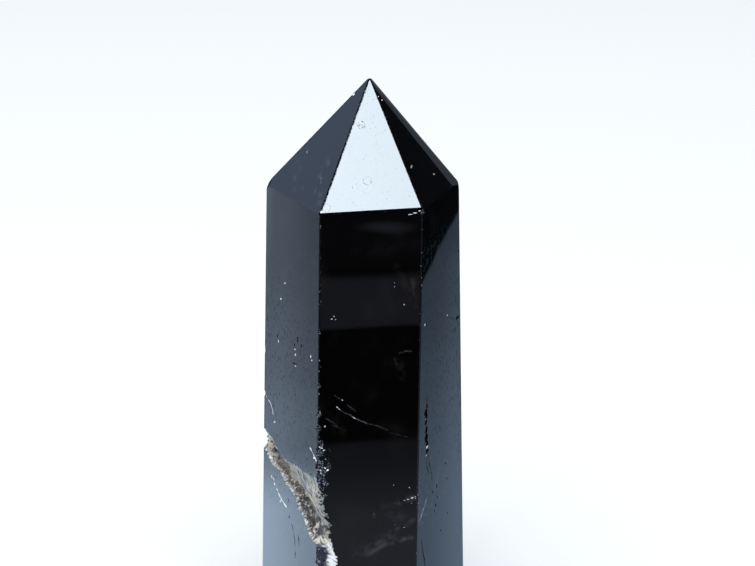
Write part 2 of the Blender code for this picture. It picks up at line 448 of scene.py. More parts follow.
coarse_lump = rough_lump("coarse_lump", 2, 9)
speck_lump = rough_lump("speck_lump", 1, 13)
for face, heights, count, mean_reach, farthest, sizes in BANDS:
    lump = coarse_lump if sizes[1] > SPECK_SIZE else speck_lump
    for number in range(count):
        across = min(dice.expovariate(1.0 / mean_reach), farthest) - START_OUTSIDE
        size = dice.uniform(*sizes)
        half_sizes = (size * dice.uniform(*CHIP_WIDTHS), size * CHIP_DEPTH, size * dice.uniform(*CHIP_HEIGHTS))
        turn = Matrix.Rotation(dice.uniform(0.0, math.tau), 3, "Y")
        chips.append(copy_lump(lump, on_prism(face, across, dice.uniform(*heights)), half_sizes, turn))
for number in range(TEETH):
    edge = APEX.lerp(CORNERS[LEFT], dice.random())
    size = dice.uniform(*TEETH_SIZES)
    chips.append(copy_lump(speck_lump, edge, (size, size, size * TOOTH_HEIGHT), Matrix.Identity(3)))
for lump in (fine_lump, coarse_lump, speck_lump):
    bpy.data.objects.remove(lump)
carve(crystal, join(chips, finishes[CHIPPED]), overlapping=True)
carve(crystal, join(gash, finishes[DEEP]), overlapping=True)
print("Faces after the chips:", len(crystal.data.polygons))

# %% [markdown]
# ## Cracks and pits
#
# A crack shows as a fine white line, because crushed quartz along it scatters light. Each one is cut with
# a thin tube: a curve with a little thickness follows the crack over the face, thins out at its ends, and
# is turned into a mesh. Pits are cut with small lumps in the same way. Bright ones are filled with crushed
# quartz. Dark ones are clean little scoops, and their near-black finish, which hardly reflects, is painted
# shade.

# %% Lay tubes along the cracks
WHITE_CRACKS = (
    # face, stations (across, z), half width
    (LEFT, ((0.10, 40.9), (0.44, 40.3), (1.07, 39.7)), 0.16),
    (LEFT, ((1.07, 39.7), (2.06, 39.2), (2.6, 38.2), (2.79, 37.4)), 0.08),
    (LEFT, ((2.07, 27.9), (2.5, 27.2), (3.35, 26.3), (3.9, 25.9), (4.39, 25.4)), 0.17),
    (LEFT, ((4.39, 25.4), (4.8, 24.9), (5.46, 24.4), (6.36, 24.0), (7.17, 23.4)), 0.22),
    (LEFT, ((5.3, 24.4), (5.0, 23.7)), 0.18),
    (LEFT, ((3.2, 26.6), (2.9, 27.4)), 0.12),
    (LEFT, ((13.0, 35.9), (13.6, 35.5), (13.99, 35.1), (14.6, 34.6), (15.0, 34.1)), 0.16),
    (FRONT, ((2.94, 42.8), (3.4, 42.4), (3.86, 42.0)), 0.05),
    (FRONT, ((5.0, 41.4), (5.41, 41.1), (6.24, 40.7)), 0.05),
    (FRONT, ((11.1, 50.95), (11.6, 50.9)), 0.10),
)
DARK_CRACKS = (
    (RIGHT, ((2.87, 43.4), (2.87, 42.1), (2.84, 41.2)), 0.13),
    (RIGHT, ((3.3, 34.2), (3.0, 32.9), (3.4, 31.4), (4.1, 29.9)), 0.11),
    (RIGHT, ((3.6, 33.6), (4.2, 31.6), (4.9, 30.2), (5.4, 28.3)), 0.11),
    (RIGHT, ((1.6, 20.4), (2.0, 18.9), (2.29, 18.0), (2.7, 16.9), (3.2, 15.2), (3.5, 13.4)), 0.16),
    (LEFT, ((8.4, 21.6), (9.03, 20.1), (9.3, 19.2), (9.5, 18.0)), 0.09),
    (LEFT, ((10.3, 20.4), (10.5, 19.4), (10.6, 18.6)), 0.11),
    (LEFT, ((9.5, 17.4), (9.5, 16.0)), 0.09),
    (LEFT, ((7.3, 25.4), (7.5, 24.6)), 0.12),
)
CRACK_STEP, CRACK_WOBBLE, WOBBLE_PITCH = 0.4, 0.16, 3.1
WOBBLE_LAYER = 4.0
END_RADIUS, LEAST_RADIUS, MEAN_RADIUS, RADIUS_PITCH = 0.4, 0.25, 0.75, 3.7
WHITE_RAISED, DARK_RAISED = 0.45, 0.0       # shares of the half width


def wander(stations):
    """The same line in short steps that stray a little to either side."""
    path = []
    for (x1, z1), (x2, z2) in zip(stations, stations[1:]):
        steps = max(1, round(math.hypot(x2 - x1, z2 - z1) / CRACK_STEP))
        for step in range(steps):
            across, z = x1 + (x2 - x1) * step / steps, z1 + (z2 - z1) * step / steps
            stray = noise.noise(Vector((across, z, WOBBLE_LAYER)) * WOBBLE_PITCH)
            path.append((across + CRACK_WOBBLE * stray, z))
    return path + [stations[-1]]


def crack_tube(face, stations, half_width, raised):
    """A tube that follows a crack over a face, thins out at its ends, and is raised by part of its width."""
    curve = bpy.data.curves.new("crack", "CURVE")
    curve.dimensions = "3D"
    curve.bevel_depth = half_width * MM
    curve.bevel_resolution = 1
    curve.use_fill_caps = True
    spline = curve.splines.new("POLY")
    path = wander(stations)
    spline.points.add(len(path) - 1)
    for number, (point, (across, z)) in enumerate(zip(spline.points, path)):
        at_end = number in (0, len(path) - 1)
        middle = placed(on_prism(face, across, z)) + face_plane(face)[0] * raised * half_width * MM
        point.co = (*middle, 1.0)
        uneven = MEAN_RADIUS + noise.noise(Vector((across, z, 0.0)) * RADIUS_PITCH)
        point.radius = END_RADIUS if at_end else max(uneven, LEAST_RADIUS)
    tube = bpy.data.objects.new("crack", curve)
    bpy.context.scene.collection.objects.link(tube)
    work_on(tube)
    bpy.ops.object.convert(target="MESH")
    bpy.ops.object.mode_set(mode="EDIT")
    bpy.ops.mesh.select_all(action="SELECT")
    bpy.ops.mesh.remove_doubles(threshold=FINEST)
    bpy.ops.mesh.normals_make_consistent(inside=False)
    bpy.ops.object.mode_set(mode="OBJECT")
    return bpy.context.object


white_cutters = [crack_tube(*crack, raised=WHITE_RAISED) for crack in WHITE_CRACKS]
dark_cutters = [crack_tube(*crack, raised=DARK_RAISED) for crack in DARK_CRACKS]
print("Cracks:", len(white_cutters), "white and", len(dark_cutters), "dark")

# %% Sink the pits and carve both kinds
WHITE_PITS = (
    # face, across, z, half width, half height
    (LEFT, 5.56, 59.7, 0.20, 0.15), (LEFT, 4.51, 56.9, 0.15, 0.18), (LEFT, 3.97, 50.0, 0.12, 0.22),
    (LEFT, 8.59, 50.1, 0.12, 0.14), (LEFT, 8.72, 49.3, 0.14, 0.22), (LEFT, 8.75, 47.5, 0.14, 0.12),
    (LEFT, 12.9, 50.3, 0.12, 0.25), (LEFT, 13.2, 49.8, 0.14, 0.14), (LEFT, 3.21, 36.6, 0.20, 0.18),
    (LEFT, 14.3, 34.6, 0.22, 0.20), (LEFT, 11.84, 23.8, 0.10, 0.14), (LEFT, 12.7, 22.8, 0.16, 0.16),
    (FRONT, 1.90, 56.7, 0.14, 0.07), (FRONT, 2.23, 57.1, 0.10, 0.09), (FRONT, 2.45, 56.6, 0.08, 0.06),
    (FRONT, 12.56, 58.6, 0.11, 0.10), (FRONT, 11.05, 62.0, 0.06, 0.06), (FRONT, 11.06, 61.4, 0.09, 0.06),
    (FRONT, 3.60, 44.0, 0.09, 0.09), (FRONT, 2.85, 42.9, 0.12, 0.09), (FRONT, 13.93, 29.6, 0.10, 0.06),
    (FRONT, 11.48, 30.1, 0.05, 0.08), (FRONT, 14.29, 27.0, 0.06, 0.06), (FRONT, 13.23, 23.1, 0.08, 0.06),
    (FRONT, 11.83, 23.6, 0.06, 0.05), (FRONT, 0.15, 33.7, 0.26, 0.26), (FRONT, 0.55, 33.3, 0.34, 0.16),
    (FRONT, 1.05, 33.2, 0.26, 0.18), (FRONT, 1.5, 32.9, 0.20, 0.14), (FRONT, 0.45, 32.8, 0.22, 0.18),
    (LEFT, 15.25, 33.6, 0.34, 0.30), (LEFT, 15.6, 34.2, 0.22, 0.24), (FRONT, 0.20, 36.6, 0.26, 0.12),
    (FRONT, 0.60, 36.45, 0.22, 0.09), (FRONT, 0.95, 36.1, 0.20, 0.10), (FRONT, 0.35, 35.7, 0.12, 0.22),
    (FRONT, 1.05, 39.9, 0.13, 0.13), (FRONT, 0.24, 42.0, 0.14, 0.30), (FRONT, 15.05, 28.1, 0.28, 0.18),
    (FRONT, 14.40, 27.9, 0.26, 0.09), (FRONT, 13.75, 27.7, 0.20, 0.06), (FRONT, 13.2, 27.5, 0.12, 0.05),
    (RIGHT, 2.47, 39.7, 0.30, 0.11), (RIGHT, 2.52, 38.3, 0.17, 0.10), (RIGHT, 3.20, 34.9, 0.34, 0.22),
    (RIGHT, 3.0, 33.6, 0.18, 0.12), (RIGHT, 1.55, 54.9, 0.14, 0.20), (RIGHT, 9.82, 53.7, 0.14, 0.13),
    (FRONT, 13.2, 72.3, 0.34, 0.08), (FRONT, 13.9, 72.5, 0.30, 0.09), (FRONT, 14.5, 72.8, 0.18, 0.10),
)
DARK_PITS = (
    (LEFT, 9.30, 51.9, 0.22, 0.50), (LEFT, 8.35, 47.8, 0.34, 0.14), (LEFT, 8.85, 47.6, 0.14, 0.26),
    (LEFT, 10.3, 51.2, 0.18, 0.24), (LEFT, 8.45, 50.8, 0.14, 0.30), (LEFT, 3.7, 50.8, 0.12, 0.34),
    (RIGHT, 2.0, 54.8, 0.30, 0.32), (RIGHT, 13.75, 52.1, 0.60, 0.30), (RIGHT, 7.08, 26.9, 0.20, 0.30),
    (RIGHT, 5.66, 26.5, 0.20, 0.26), (RIGHT, 7.43, 25.0, 0.18, 0.22), (RIGHT, 6.88, 23.9, 0.24, 0.36),
    (RIGHT, 6.5, 23.0, 0.20, 0.16), (RIGHT, 10.35, 29.4, 0.26, 0.16), (RIGHT, 11.03, 26.6, 0.18, 0.20),
    (RIGHT, 11.5, 20.6, 0.16, 0.16), (RIGHT, 9.0, 18.7, 0.16, 0.16), (RIGHT, 13.6, 62.8, 0.20, 0.20),
    (RIGHT, 3.0, 48.4, 0.14, 0.14), (LEFT, 7.7, 22.4, 0.14, 0.24),
)
TIP_PITS = (
    # tip face, along its lower edge, up the face, half size
    (RIGHT, 3.55, 5.84, 0.14), (RIGHT, 3.95, 6.0, 0.10), (RIGHT, 8.15, 3.16, 0.13), (RIGHT, 6.91, 16.5, 0.14),
    (RIGHT, 6.6, 17.2, 0.09), (FRONT, 0.25, 0.3, 0.20), (LEFT, 5.91, 17.9, 0.22), (LEFT, 4.08, 7.1, 0.09),
)
PIT_DEPTH = 0.16


def flat_against(normal):
    """A turn that lays a lump's Y along a face's normal and keeps its Z as upright as it can be."""
    side = normal.cross(Vector((0.0, 0.0, 1.0))).normalized()
    return Matrix((side, normal, side.cross(normal))).transposed()


pit_lump = rough_lump("pit_lump", 2, 21)
for cutters, pits in ((white_cutters, WHITE_PITS), (dark_cutters, DARK_PITS)):
    for face, across, z, half_width, half_height in pits:
        half_sizes = (half_width, PIT_DEPTH, half_height)
        turn = flat_against(face_plane(face)[0])
        cutters.append(copy_lump(pit_lump, on_prism(face, across, z), half_sizes, turn))
for face, along, up, half_size in TIP_PITS:
    turn = flat_against(tip_normal(face))
    white_cutters.append(copy_lump(pit_lump, on_tip(face, along, up), (half_size, PIT_DEPTH, half_size), turn))
bpy.data.objects.remove(pit_lump)
carve(crystal, join(white_cutters, finishes[CRUSHED]), overlapping=True)
carve(crystal, join(dark_cutters, finishes[DEEP]), overlapping=True)
print("Faces after the pits:", len(crystal.data.polygons))

# %% [markdown]
# ## The fracture scar
#
# Quartz breaks like thick glass. A blow on the left edge split off a long splinter that ran down to the
# front edge, and left a crumbling groove with one long wall. The wall is ribbed, the groove is full of
# crumbs, and its foot opens into two small hollows.
#
# The scar could be painted on, but it is millimetres deep and breaks the outline, so it is cut. The tool
# is a sheet that stands in front of the damage. Its back is the broken surface, given by a rule: how deep
# the break lies at each place (u, z), where u runs to the right across the sheet. A grid primitive gives
# the sheet, the rule places its points, and its rim is pulled out and closed.

# %% Draw the scar on its sheet
SCAR_AZIMUTH = math.radians(-50.0)
SCAR_OUT = Vector((math.sin(SCAR_AZIMUTH), -math.cos(SCAR_AZIMUTH), 0.0))
SCAR_ACROSS = Vector((math.cos(SCAR_AZIMUTH), math.sin(SCAR_AZIMUTH), 0.0))
SCAR_OUTLINE = (
    (-9.6, 34.6), (-8.5, 34.6), (-6.4, 33.8), (-4.4, 32.2), (-2.5, 31.4), (0.7, 31.7), (2.8, 31.3),
    (4.8, 31.6), (6.1, 32.0), (6.8, 29.9), (7.2, 27.1), (7.6, 24.0), (7.9, 21.6), (8.6, 18.0),
    (8.3, 14.6), (7.8, 11.2), (6.8, 9.0), (6.2, 12.0), (6.4, 17.0), (6.6, 20.8), (4.9, 21.2),
    (3.4, 23.0), (2.4, 24.4), (1.2, 24.8), (0.5, 26.4), (-2.3, 27.6), (-4.1, 29.0), (-5.8, 29.2),
    (-7.8, 30.6), (-9.3, 31.6),
)
LOWER_RIM_START = 20         # the outline's points from here on are its lower left border
RIGHT_RIM = (8, 13)          # and these are its right border
GROOVE_LINE = (
    (-9.0, 32.2), (-5.6, 30.4), (-1.6, 28.9), (0.7, 27.5), (2.4, 25.9), (4.1, 24.9), (5.8, 23.9), (7.3, 22.7),
)
SCAR_HOLLOWS = (
    # middle, half sizes, how much deeper
    ((2.3, 26.2), (0.8, 0.5), 0.8),
    ((7.0, 23.1), (0.9, 0.7), 0.6),
    ((-7.6, 31.7), (0.5, 0.4), 0.5),
    ((4.6, 24.8), (1.1, 0.4), 0.4),
)


def distance_to_line(points, line, closed=False):
    """Distance of each point from a broken line drawn on the sheet."""
    stations = np.array(line + line[:1] if closed else line)
    nearest = np.full(len(points), np.inf)
    for start, end in zip(stations, stations[1:]):
        run = end - start
        offset = points - start
        share = np.clip(offset @ run / (run @ run), 0.0, 1.0)
        nearest = np.minimum(nearest, np.linalg.norm(offset - share[:, None] * run, axis=1))
    return nearest


def lies_inside(points, outline):
    """True for each point inside a closed outline, by counting crossings to its left."""
    inside = np.zeros(len(points), dtype=bool)
    for (u1, z1), (u2, z2) in zip(outline, outline[1:] + outline[:1]):
        if z1 != z2:
            spans = (z1 > points[:, 1]) != (z2 > points[:, 1])
            inside ^= spans & (points[:, 0] < u1 + (points[:, 1] - z1) * (u2 - u1) / (z2 - z1))
    return inside


def grain(points, size, layer, height=1.0):
    """Smooth noise between about -1 and 1 on the sheet, with lumps of a size, taller by a factor."""
    return np.array([noise.noise(Vector((u / size, layer, z / size / height))) for u, z in points])


def step_up(values, start, end):
    """Rises from 0 to 1 while the values go from start to end."""
    return np.clip((values - start) / (end - start), 0.0, 1.0)


def spot(points, middle, half_sizes):
    """1 at the middle of an oval spot, falling to 0 well outside it."""
    offset = (points - np.array(middle)) / np.array(half_sizes)
    return np.exp(-(offset ** 2).sum(axis=1))


print("The scar is", round(max(u for u, z in SCAR_OUTLINE) - min(u for u, z in SCAR_OUTLINE), 1), "mm wide")

# %% Work out how deep the scar is
GROOVE_DEPTH = 1.25
GROOVE_REACH = 3.6
SCAR_LEDGE = 0.20
SCAR_WALL = 0.9
SCAR_ROUGHNESS = 0.42
SCAR_LUMP = 1.3
SCAR_RIDGE = 0.14
SCAR_RIDGE_PITCH = 1.5
SCAR_RIDGE_SLANT = 0.38
SCAR_LEAST_DEPTH = 0.10
SCAR_STAND_OFF = 0.40
RIM_RAGGED, RIM_LUMP = 0.26, 0.5
TEETH_REACH, TEETH_WIDTH, TEETH_FADE = 0.75, 0.30, (20.5, 23.0)
RIB_SLANT = 0.62
RIB_DEPTH, RIB_WIDTH, RIB_STRETCH = 0.17, 0.34, 7.0
CRUMB_DEPTH, CRUMB_SIZE, CRUMB_BLEND = 0.36, 0.40, 0.2
CRUMB_WIDTHS = (
    (20.0, 23.5, 26.5, 29.0, 31.0, 33.0),       # at these heights
    (0.9, 1.25, 0.95, 0.70, 0.65, 1.0),         # the strip of crumbs is so wide
)
GRIT_DEPTH, GRIT_SIZE = 0.07, 0.2


def slanted(points):
    """The same places, sheared so that the wall's ribs stand upright."""
    return np.column_stack((points[:, 0] + RIB_SLANT * points[:, 1], points[:, 1]))


def from_lower_rim(points):
    """Distance from the scar's lower left border."""
    return distance_to_line(points, SCAR_OUTLINE[LOWER_RIM_START:])


def crumbliness(points):
    """1 in a strip along the lower left border, falling to 0 where the clean wall begins."""
    width = np.interp(points[:, 1], *CRUMB_WIDTHS)
    return step_up(width - from_lower_rim(points), -CRUMB_BLEND, CRUMB_BLEND)


def scar_depths(points):
    """How deep the fracture lies under the polished faces at each place of the sheet."""
    share = np.minimum(distance_to_line(points, SCAR_OUTLINE, closed=True) / SCAR_WALL, 1.0)
    groove = GROOVE_DEPTH * np.maximum(1.0 - distance_to_line(points, GROOVE_LINE) / GROOVE_REACH, 0.0)
    across = (points[:, 0] + SCAR_RIDGE_SLANT * points[:, 1]) / SCAR_RIDGE_PITCH
    ridges = 1.0 - 2.0 * np.abs(2.0 * (across % 1.0) - 1.0)
    ribs = grain(slanted(points), RIB_WIDTH, 5.0, RIB_STRETCH)
    lumps = SCAR_ROUGHNESS * grain(points, SCAR_LUMP, 0.0)
    depths = SCAR_LEDGE + share * (groove + lumps + SCAR_RIDGE * ridges)
    depths += share * (RIB_DEPTH * ribs + CRUMB_DEPTH * crumbliness(points) * grain(points, CRUMB_SIZE, 9.0))
    depths += GRIT_DEPTH * grain(points, GRIT_SIZE, 3.0)
    for middle, half_sizes, deeper in SCAR_HOLLOWS:
        depths += share * deeper * spot(points, middle, half_sizes)
    ragged = points + RIM_RAGGED * np.column_stack((grain(points, RIM_LUMP, 1.0), grain(points, RIM_LUMP, 2.0)))
    teeth = grain(slanted(points), TEETH_WIDTH, 8.0, RIB_STRETCH) * (1.0 - crumbliness(points))
    teeth *= step_up(points[:, 1], *TEETH_FADE)
    ragged += TEETH_REACH * teeth[:, None] * np.array((-RIB_SLANT, 1.0))
    return np.where(lies_inside(ragged, SCAR_OUTLINE), np.maximum(depths, SCAR_LEAST_DEPTH), -SCAR_STAND_OFF)


def surface_reach(u, z):
    """How far out from the sheet's own plane the polished faces lie."""
    foot = SCAR_ACROSS * u + Vector((0.0, 0.0, z))
    planes = [face_plane(index) for index in (BACK_LEFT, LEFT, FRONT)]
    return min((distance - normal.dot(foot)) / normal.dot(SCAR_OUT) for normal, distance in planes)


sample = scar_depths(np.array(GROOVE_LINE))
print("The groove is", round(float(sample.min()), 2), "to", round(float(sample.max()), 2), "mm deep")

# %% Make the sheet and carve with it
SCAR_STEP = 0.13
SCAR_MARGIN = 1.2
SHEET_REACH = 22.0

low = np.min(SCAR_OUTLINE, axis=0) - SCAR_MARGIN
high = np.max(SCAR_OUTLINE, axis=0) + SCAR_MARGIN
columns, rows = (int(count) for count in np.ceil((high - low) / SCAR_STEP))
deselect_everything()
bpy.ops.mesh.primitive_grid_add(x_subdivisions=columns, y_subdivisions=rows, size=1.0)
sheet = bpy.context.object
flat = np.array([vert.co for vert in sheet.data.vertices])[:, :2] + 0.5
places = low + flat * (high - low)
for vert, (u, z), depth in zip(sheet.data.vertices, places, scar_depths(places)):
    vert.co = placed(SCAR_ACROSS * u + Vector((0.0, 0.0, z)) + SCAR_OUT * (surface_reach(u, z) - depth))
bpy.ops.object.mode_set(mode="EDIT")
pick("EDGE", lambda edge: edge.is_boundary)
bpy.ops.mesh.extrude_edges_move(TRANSFORM_OT_translate={"value": SCAR_OUT * MM})
editable = bmesh.from_edit_mesh(sheet.data)
for vert in editable.verts:
    if vert.select:
        vert.co += SCAR_OUT * (SHEET_REACH * MM - vert.co.dot(SCAR_OUT))
bmesh.update_edit_mesh(sheet.data)
bpy.ops.mesh.edge_face_add()
bpy.ops.mesh.select_all(action="SELECT")
bpy.ops.mesh.normals_make_consistent(inside=False)
bpy.ops.object.mode_set(mode="OBJECT")
sheet.data.materials.append(finishes[FRACTURE])
sheet_faces = len(sheet.data.polygons)
carve(crystal, sheet)
print("The sheet had", sheet_faces, "faces, and the crystal now has", len(crystal.data.polygons))

# %% [markdown]
# ## Shading and a check of the mesh
#
# The polished faces stay flat shaded, because a smooth normal would bend their reflections. The scar is
# smooth shaded, or each step of its fine grid would glint by itself. A loop then counts the edges that
# don't have exactly two faces; a closed mesh has none.

# %% Shade the scar smooth and test the mesh
slot_names = [slot.material.name for slot in crystal.material_slots]
for polygon in crystal.data.polygons:
    polygon.use_smooth = slot_names[polygon.material_index] == "fracture"
tester = bmesh.new()
tester.from_mesh(crystal.data)
open_edges = [edge for edge in tester.edges if not edge.is_manifold]
volume = tester.calc_volume(signed=True)
tester.free()
print("Open edges:", len(open_edges), "and volume:", round(volume * 1e6, 2), "ml; slots:", slot_names)

# %% [markdown]
# ## Colours of the fracture
#
# The break shows crushed quartz from cream to white, a clay-brown core in the groove and a blue-grey ribbed
# wall. Its near-black places are painted shade: in the hollows, down the groove and between the crumbs, and a
# plum tone is painted shade in a hollow at the groove's foot. The white beads on the lower left rim are pale
# crumbs with painted glints. Each is a soft oval zone on the same sheet as before, laid over the one before
# it, and noise frays its border. The result is stored on the mesh as a colour attribute, because this pattern
# follows the break. A second attribute keeps the place across and along the ribs, and how crumbly the break
# is, for the finer grain that the finish adds.

# %% Paint the fracture's zones
WALL_GREY, WALL_BLUE, WALL_CREAM = (0.30, 0.32, 0.30), (0.16, 0.20, 0.25), (0.48, 0.46, 0.40)
CREAM, WHITE, BROWN = (0.68, 0.65, 0.57), (0.80, 0.83, 0.88), (0.125, 0.080, 0.052)
PAINTED_SHADE, NAVY = (0.012, 0.010, 0.009), (0.010, 0.012, 0.035)
BLUSH, PLUM_SHADE = (0.40, 0.34, 0.33), (0.055, 0.045, 0.055)
RIM_CRUMBS = (0.36, 0.35, 0.32)
RIM_WIDTH, RIM_GAPS = 0.32, 0.40
# Near-black zones are painted shade in the hollows and down the groove, and the plum one is painted shade in a
# hollow at the groove's foot.
ZONES = (
    # middle, half sizes, colour, strength
    ((-7.4, 32.6), (2.3, 1.3), CREAM, 0.95),
    ((-5.2, 31.6), (1.5, 0.6), CREAM, 0.7),
    ((-7.9, 31.9), (0.35, 0.45), PAINTED_SHADE, 1.0),
    ((-7.0, 31.2), (0.5, 0.25), PAINTED_SHADE, 1.0),
    ((-5.6, 30.3), (0.8, 0.25), PAINTED_SHADE, 0.6),
    ((-3.8, 30.6), (1.2, 0.4), WALL_CREAM, 0.7),
    ((-0.6, 27.8), (1.0, 0.4), BROWN, 0.8),
    ((0.8, 27.0), (0.9, 0.5), BROWN, 0.9),
    ((1.6, 25.9), (0.9, 0.45), PAINTED_SHADE, 1.0),
    ((2.9, 24.6), (0.8, 0.35), PAINTED_SHADE, 0.9),
    ((5.2, 27.8), (1.0, 2.2), WALL_CREAM, 0.75),
    ((3.6, 25.8), (0.5, 0.5), BROWN, 0.6),
    ((5.2, 25.6), (0.9, 1.0), BLUSH, 0.8),
    ((5.9, 24.6), (0.8, 0.7), BLUSH, 0.8),
    ((5.0, 23.7), (0.7, 0.5), PAINTED_SHADE, 0.8),
    ((6.1, 22.6), (0.9, 0.8), PLUM_SHADE, 0.95),
    ((5.1, 22.7), (0.28, 0.9), CREAM, 0.9),
    ((7.4, 22.6), (0.3, 1.0), CREAM, 0.7),
    ((6.0, 21.2), (1.9, 0.45), CREAM, 1.0),
    ((6.9, 18.4), (0.9, 2.3), NAVY, 1.0),
    ((6.9, 13.5), (1.1, 3.6), NAVY, 0.9),
    ((8.1, 18.6), (0.55, 3.0), WHITE, 1.0),
    ((7.8, 20.3), (0.6, 0.7), WHITE, 1.0),
    ((7.9, 14.4), (0.6, 2.2), CREAM, 0.8),
)
FRAY, FRAY_SIZE = 0.40, 0.45
ZONE_EDGE = (0.22, 0.52)                    # a zone comes in where its spot is this strong
# The dark strip that comes in at SHADE_IN is painted shade down in the groove.
CRUMBS_IN = (20.2, 21.4)                    # heights where the crumbs come in,
BROWN_IN, SHADE_IN = (30.6, 29.4), (26.4, 25.2)         # and, inside them, the clay and the dark
OFF_RIM = (0.12, 0.30)
NAVY_RIM_FOOT = 21.5


def mixed(under, over, share):
    """Lays one colour over others by a share from 0 to 1 for each place."""
    return under + (np.array(over) - under) * np.clip(share, 0.0, 1.0)[:, None]


def fracture_colours(places):
    """The colour of the break at each place of the sheet, painted shade and painted glints included."""
    frayed = places + FRAY * np.column_stack((grain(places, FRAY_SIZE, 11.0), grain(places, FRAY_SIZE, 12.0)))
    colours = np.tile(np.array(WALL_GREY), (len(places), 1))
    colours = mixed(colours, WALL_BLUE, 2.2 * grain(slanted(places), 0.5, 6.0, 5.0))
    colours = mixed(colours, WALL_CREAM, 2.2 * grain(slanted(places), 0.4, 7.0, 5.0))
    heights = places[:, 1]
    crumbs = crumbliness(places) * step_up(heights, *CRUMBS_IN)
    inner = crumbs * step_up(from_lower_rim(frayed), *OFF_RIM)
    colours = mixed(colours, RIM_CRUMBS, crumbs)
    colours = mixed(colours, BROWN, inner * step_up(heights, *BROWN_IN))
    # Near-black in the groove's lower part is painted shade.
    colours = mixed(colours, PAINTED_SHADE, 0.9 * inner * step_up(heights, *SHADE_IN))
    for middle, half_sizes, colour, strength in ZONES:
        colours = mixed(colours, colour, strength * step_up(spot(frayed, middle, half_sizes), *ZONE_EDGE))
    # Dark specks among the crumbs are painted shade between them.
    colours = mixed(colours, PAINTED_SHADE, 6.0 * crumbs * (grain(places, 0.36, 14.0) - 0.13))
    colours = mixed(colours, CREAM, 5.0 * crumbs * (grain(places, 0.34, 15.0) - 0.30))
    # White beads along the lower left border: pale crumbs, with painted glints on the rim's edge.
    rim_crumbs_and_glints = step_up(grain(places, RIM_GAPS, 16.0), -0.05, 0.15)
    rim_crumbs_and_glints *= step_up(RIM_WIDTH - from_lower_rim(places), 0.0, 0.2)
    colours = mixed(colours, WHITE, 0.85 * rim_crumbs_and_glints)
    right_rim = distance_to_line(places, SCAR_OUTLINE[RIGHT_RIM[0]:RIGHT_RIM[1]])
    navy = 0.85 * step_up(grain(places, 0.5, 17.0), -0.15, 0.1) * step_up(RIM_WIDTH - right_rim, 0.0, 0.3)
    return mixed(colours, NAVY, navy * (heights > NAVY_RIM_FOOT))


positions = (np.array([vert.co for vert in crystal.data.vertices]) - np.array(SHIFT)) / MM
broken = np.zeros(len(positions), dtype=bool)
for polygon in crystal.data.polygons:
    if slot_names[polygon.material_index] == "fracture":
        broken[list(polygon.vertices)] = True
sheet_places = np.column_stack((positions @ np.array(SCAR_ACROSS), positions[:, 2]))
painted = np.zeros((len(positions), 4))
painted[broken, :3] = np.clip(fracture_colours(sheet_places[broken]), 0.0, 1.0)
painted[:, 3] = 1.0
attribute = crystal.data.attributes.new("fracture_colour", "FLOAT_COLOR", "POINT")
attribute.data.foreach_set("color", painted.astype(np.float32).ravel())
pattern = np.zeros((len(positions), 3))
pattern[broken, :2] = slanted(sheet_places[broken])
pattern[broken, 2] = crumbliness(sheet_places[broken])
attribute = crystal.data.attributes.new("fracture_pattern", "FLOAT_VECTOR", "POINT")
attribute.data.foreach_set("vector", pattern.astype(np.float32).ravel())
print("Painted points:", int(broken.sum()), "of", len(positions))

# %% [markdown]
# ## Writing materials as recipes
#
# A material is a small network of nodes. These helpers write one step each and return its output, so that
# a finish reads like a recipe from top to bottom. All patterns are laid out on Object coordinates in
# millimetres, so they keep their real size and stay on the stone from every side.


# %% Helpers for node recipes
def add_node(tree, kind, inputs=(), **settings):
    """Adds a shader node. Inputs are numbers, colours, or the outputs of earlier steps."""
    node = tree.nodes.new("ShaderNode" + kind)
    for name, value in settings.items():
        setattr(node, name, value)
    for key, value in dict(inputs).items():
        if isinstance(value, bpy.types.NodeSocket):
            tree.links.new(value, node.inputs[key])
        else:
            node.inputs[key].default_value = value
    return node


def calculate(tree, operation, *values):
    """A Math node."""
    return add_node(tree, "Math", enumerate(values), operation=operation).outputs[0]


def step_between(tree, value, start, end):
    """Rises softly from 0 to 1 while the value goes from start to end."""
    inputs = {"Value": value, "From Min": start, "From Max": end}
    return add_node(tree, "MapRange", inputs, interpolation_type="SMOOTHSTEP").outputs["Result"]


def lay_over(tree, share, under, over):
    """Mixes two colours."""
    node = tree.nodes.new("ShaderNodeMix")
    node.data_type = "RGBA"
    for socket, value in zip((node.inputs[0], node.inputs[6], node.inputs[7]), (share, under, over)):
        if isinstance(value, bpy.types.NodeSocket):
            tree.links.new(value, socket)
        elif socket == node.inputs[0]:
            socket.default_value = value
        else:
            socket.default_value = (*value[:3], 1.0)
    return node.outputs[2]


def stone_place(tree):
    """The place on the stone, in millimetres of the frame."""
    coordinates = add_node(tree, "TexCoord").outputs["Object"]
    scaled = add_node(tree, "VectorMath", {0: coordinates, "Scale": 1.0 / MM}, operation="SCALE")
    return scaled.outputs[0]


def grain_node(tree, place, size, detail=2.0, stretch=(1.0, 1.0, 1.0), shift=(0.0, 0.0, 0.0)):
    """Noise with lumps of a size in millimetres, longer along an axis by its stretch."""
    shrink = [1.0 / (size * factor) for factor in stretch]
    mapped = add_node(tree, "Mapping", {"Vector": place, "Scale": shrink, "Location": shift}).outputs[0]
    return add_node(tree, "TexNoise", {"Vector": mapped, "Scale": 1.0, "Detail": detail}).outputs["Fac"]


def bumped(tree, height, depth, normal=None):
    """A bump whose height of 1 stands for a depth in millimetres."""
    inputs = {"Height": height, "Distance": depth * MM, "Strength": 1.0}
    if normal is not None:
        inputs["Normal"] = normal
    return add_node(tree, "Bump", inputs).outputs["Normal"]


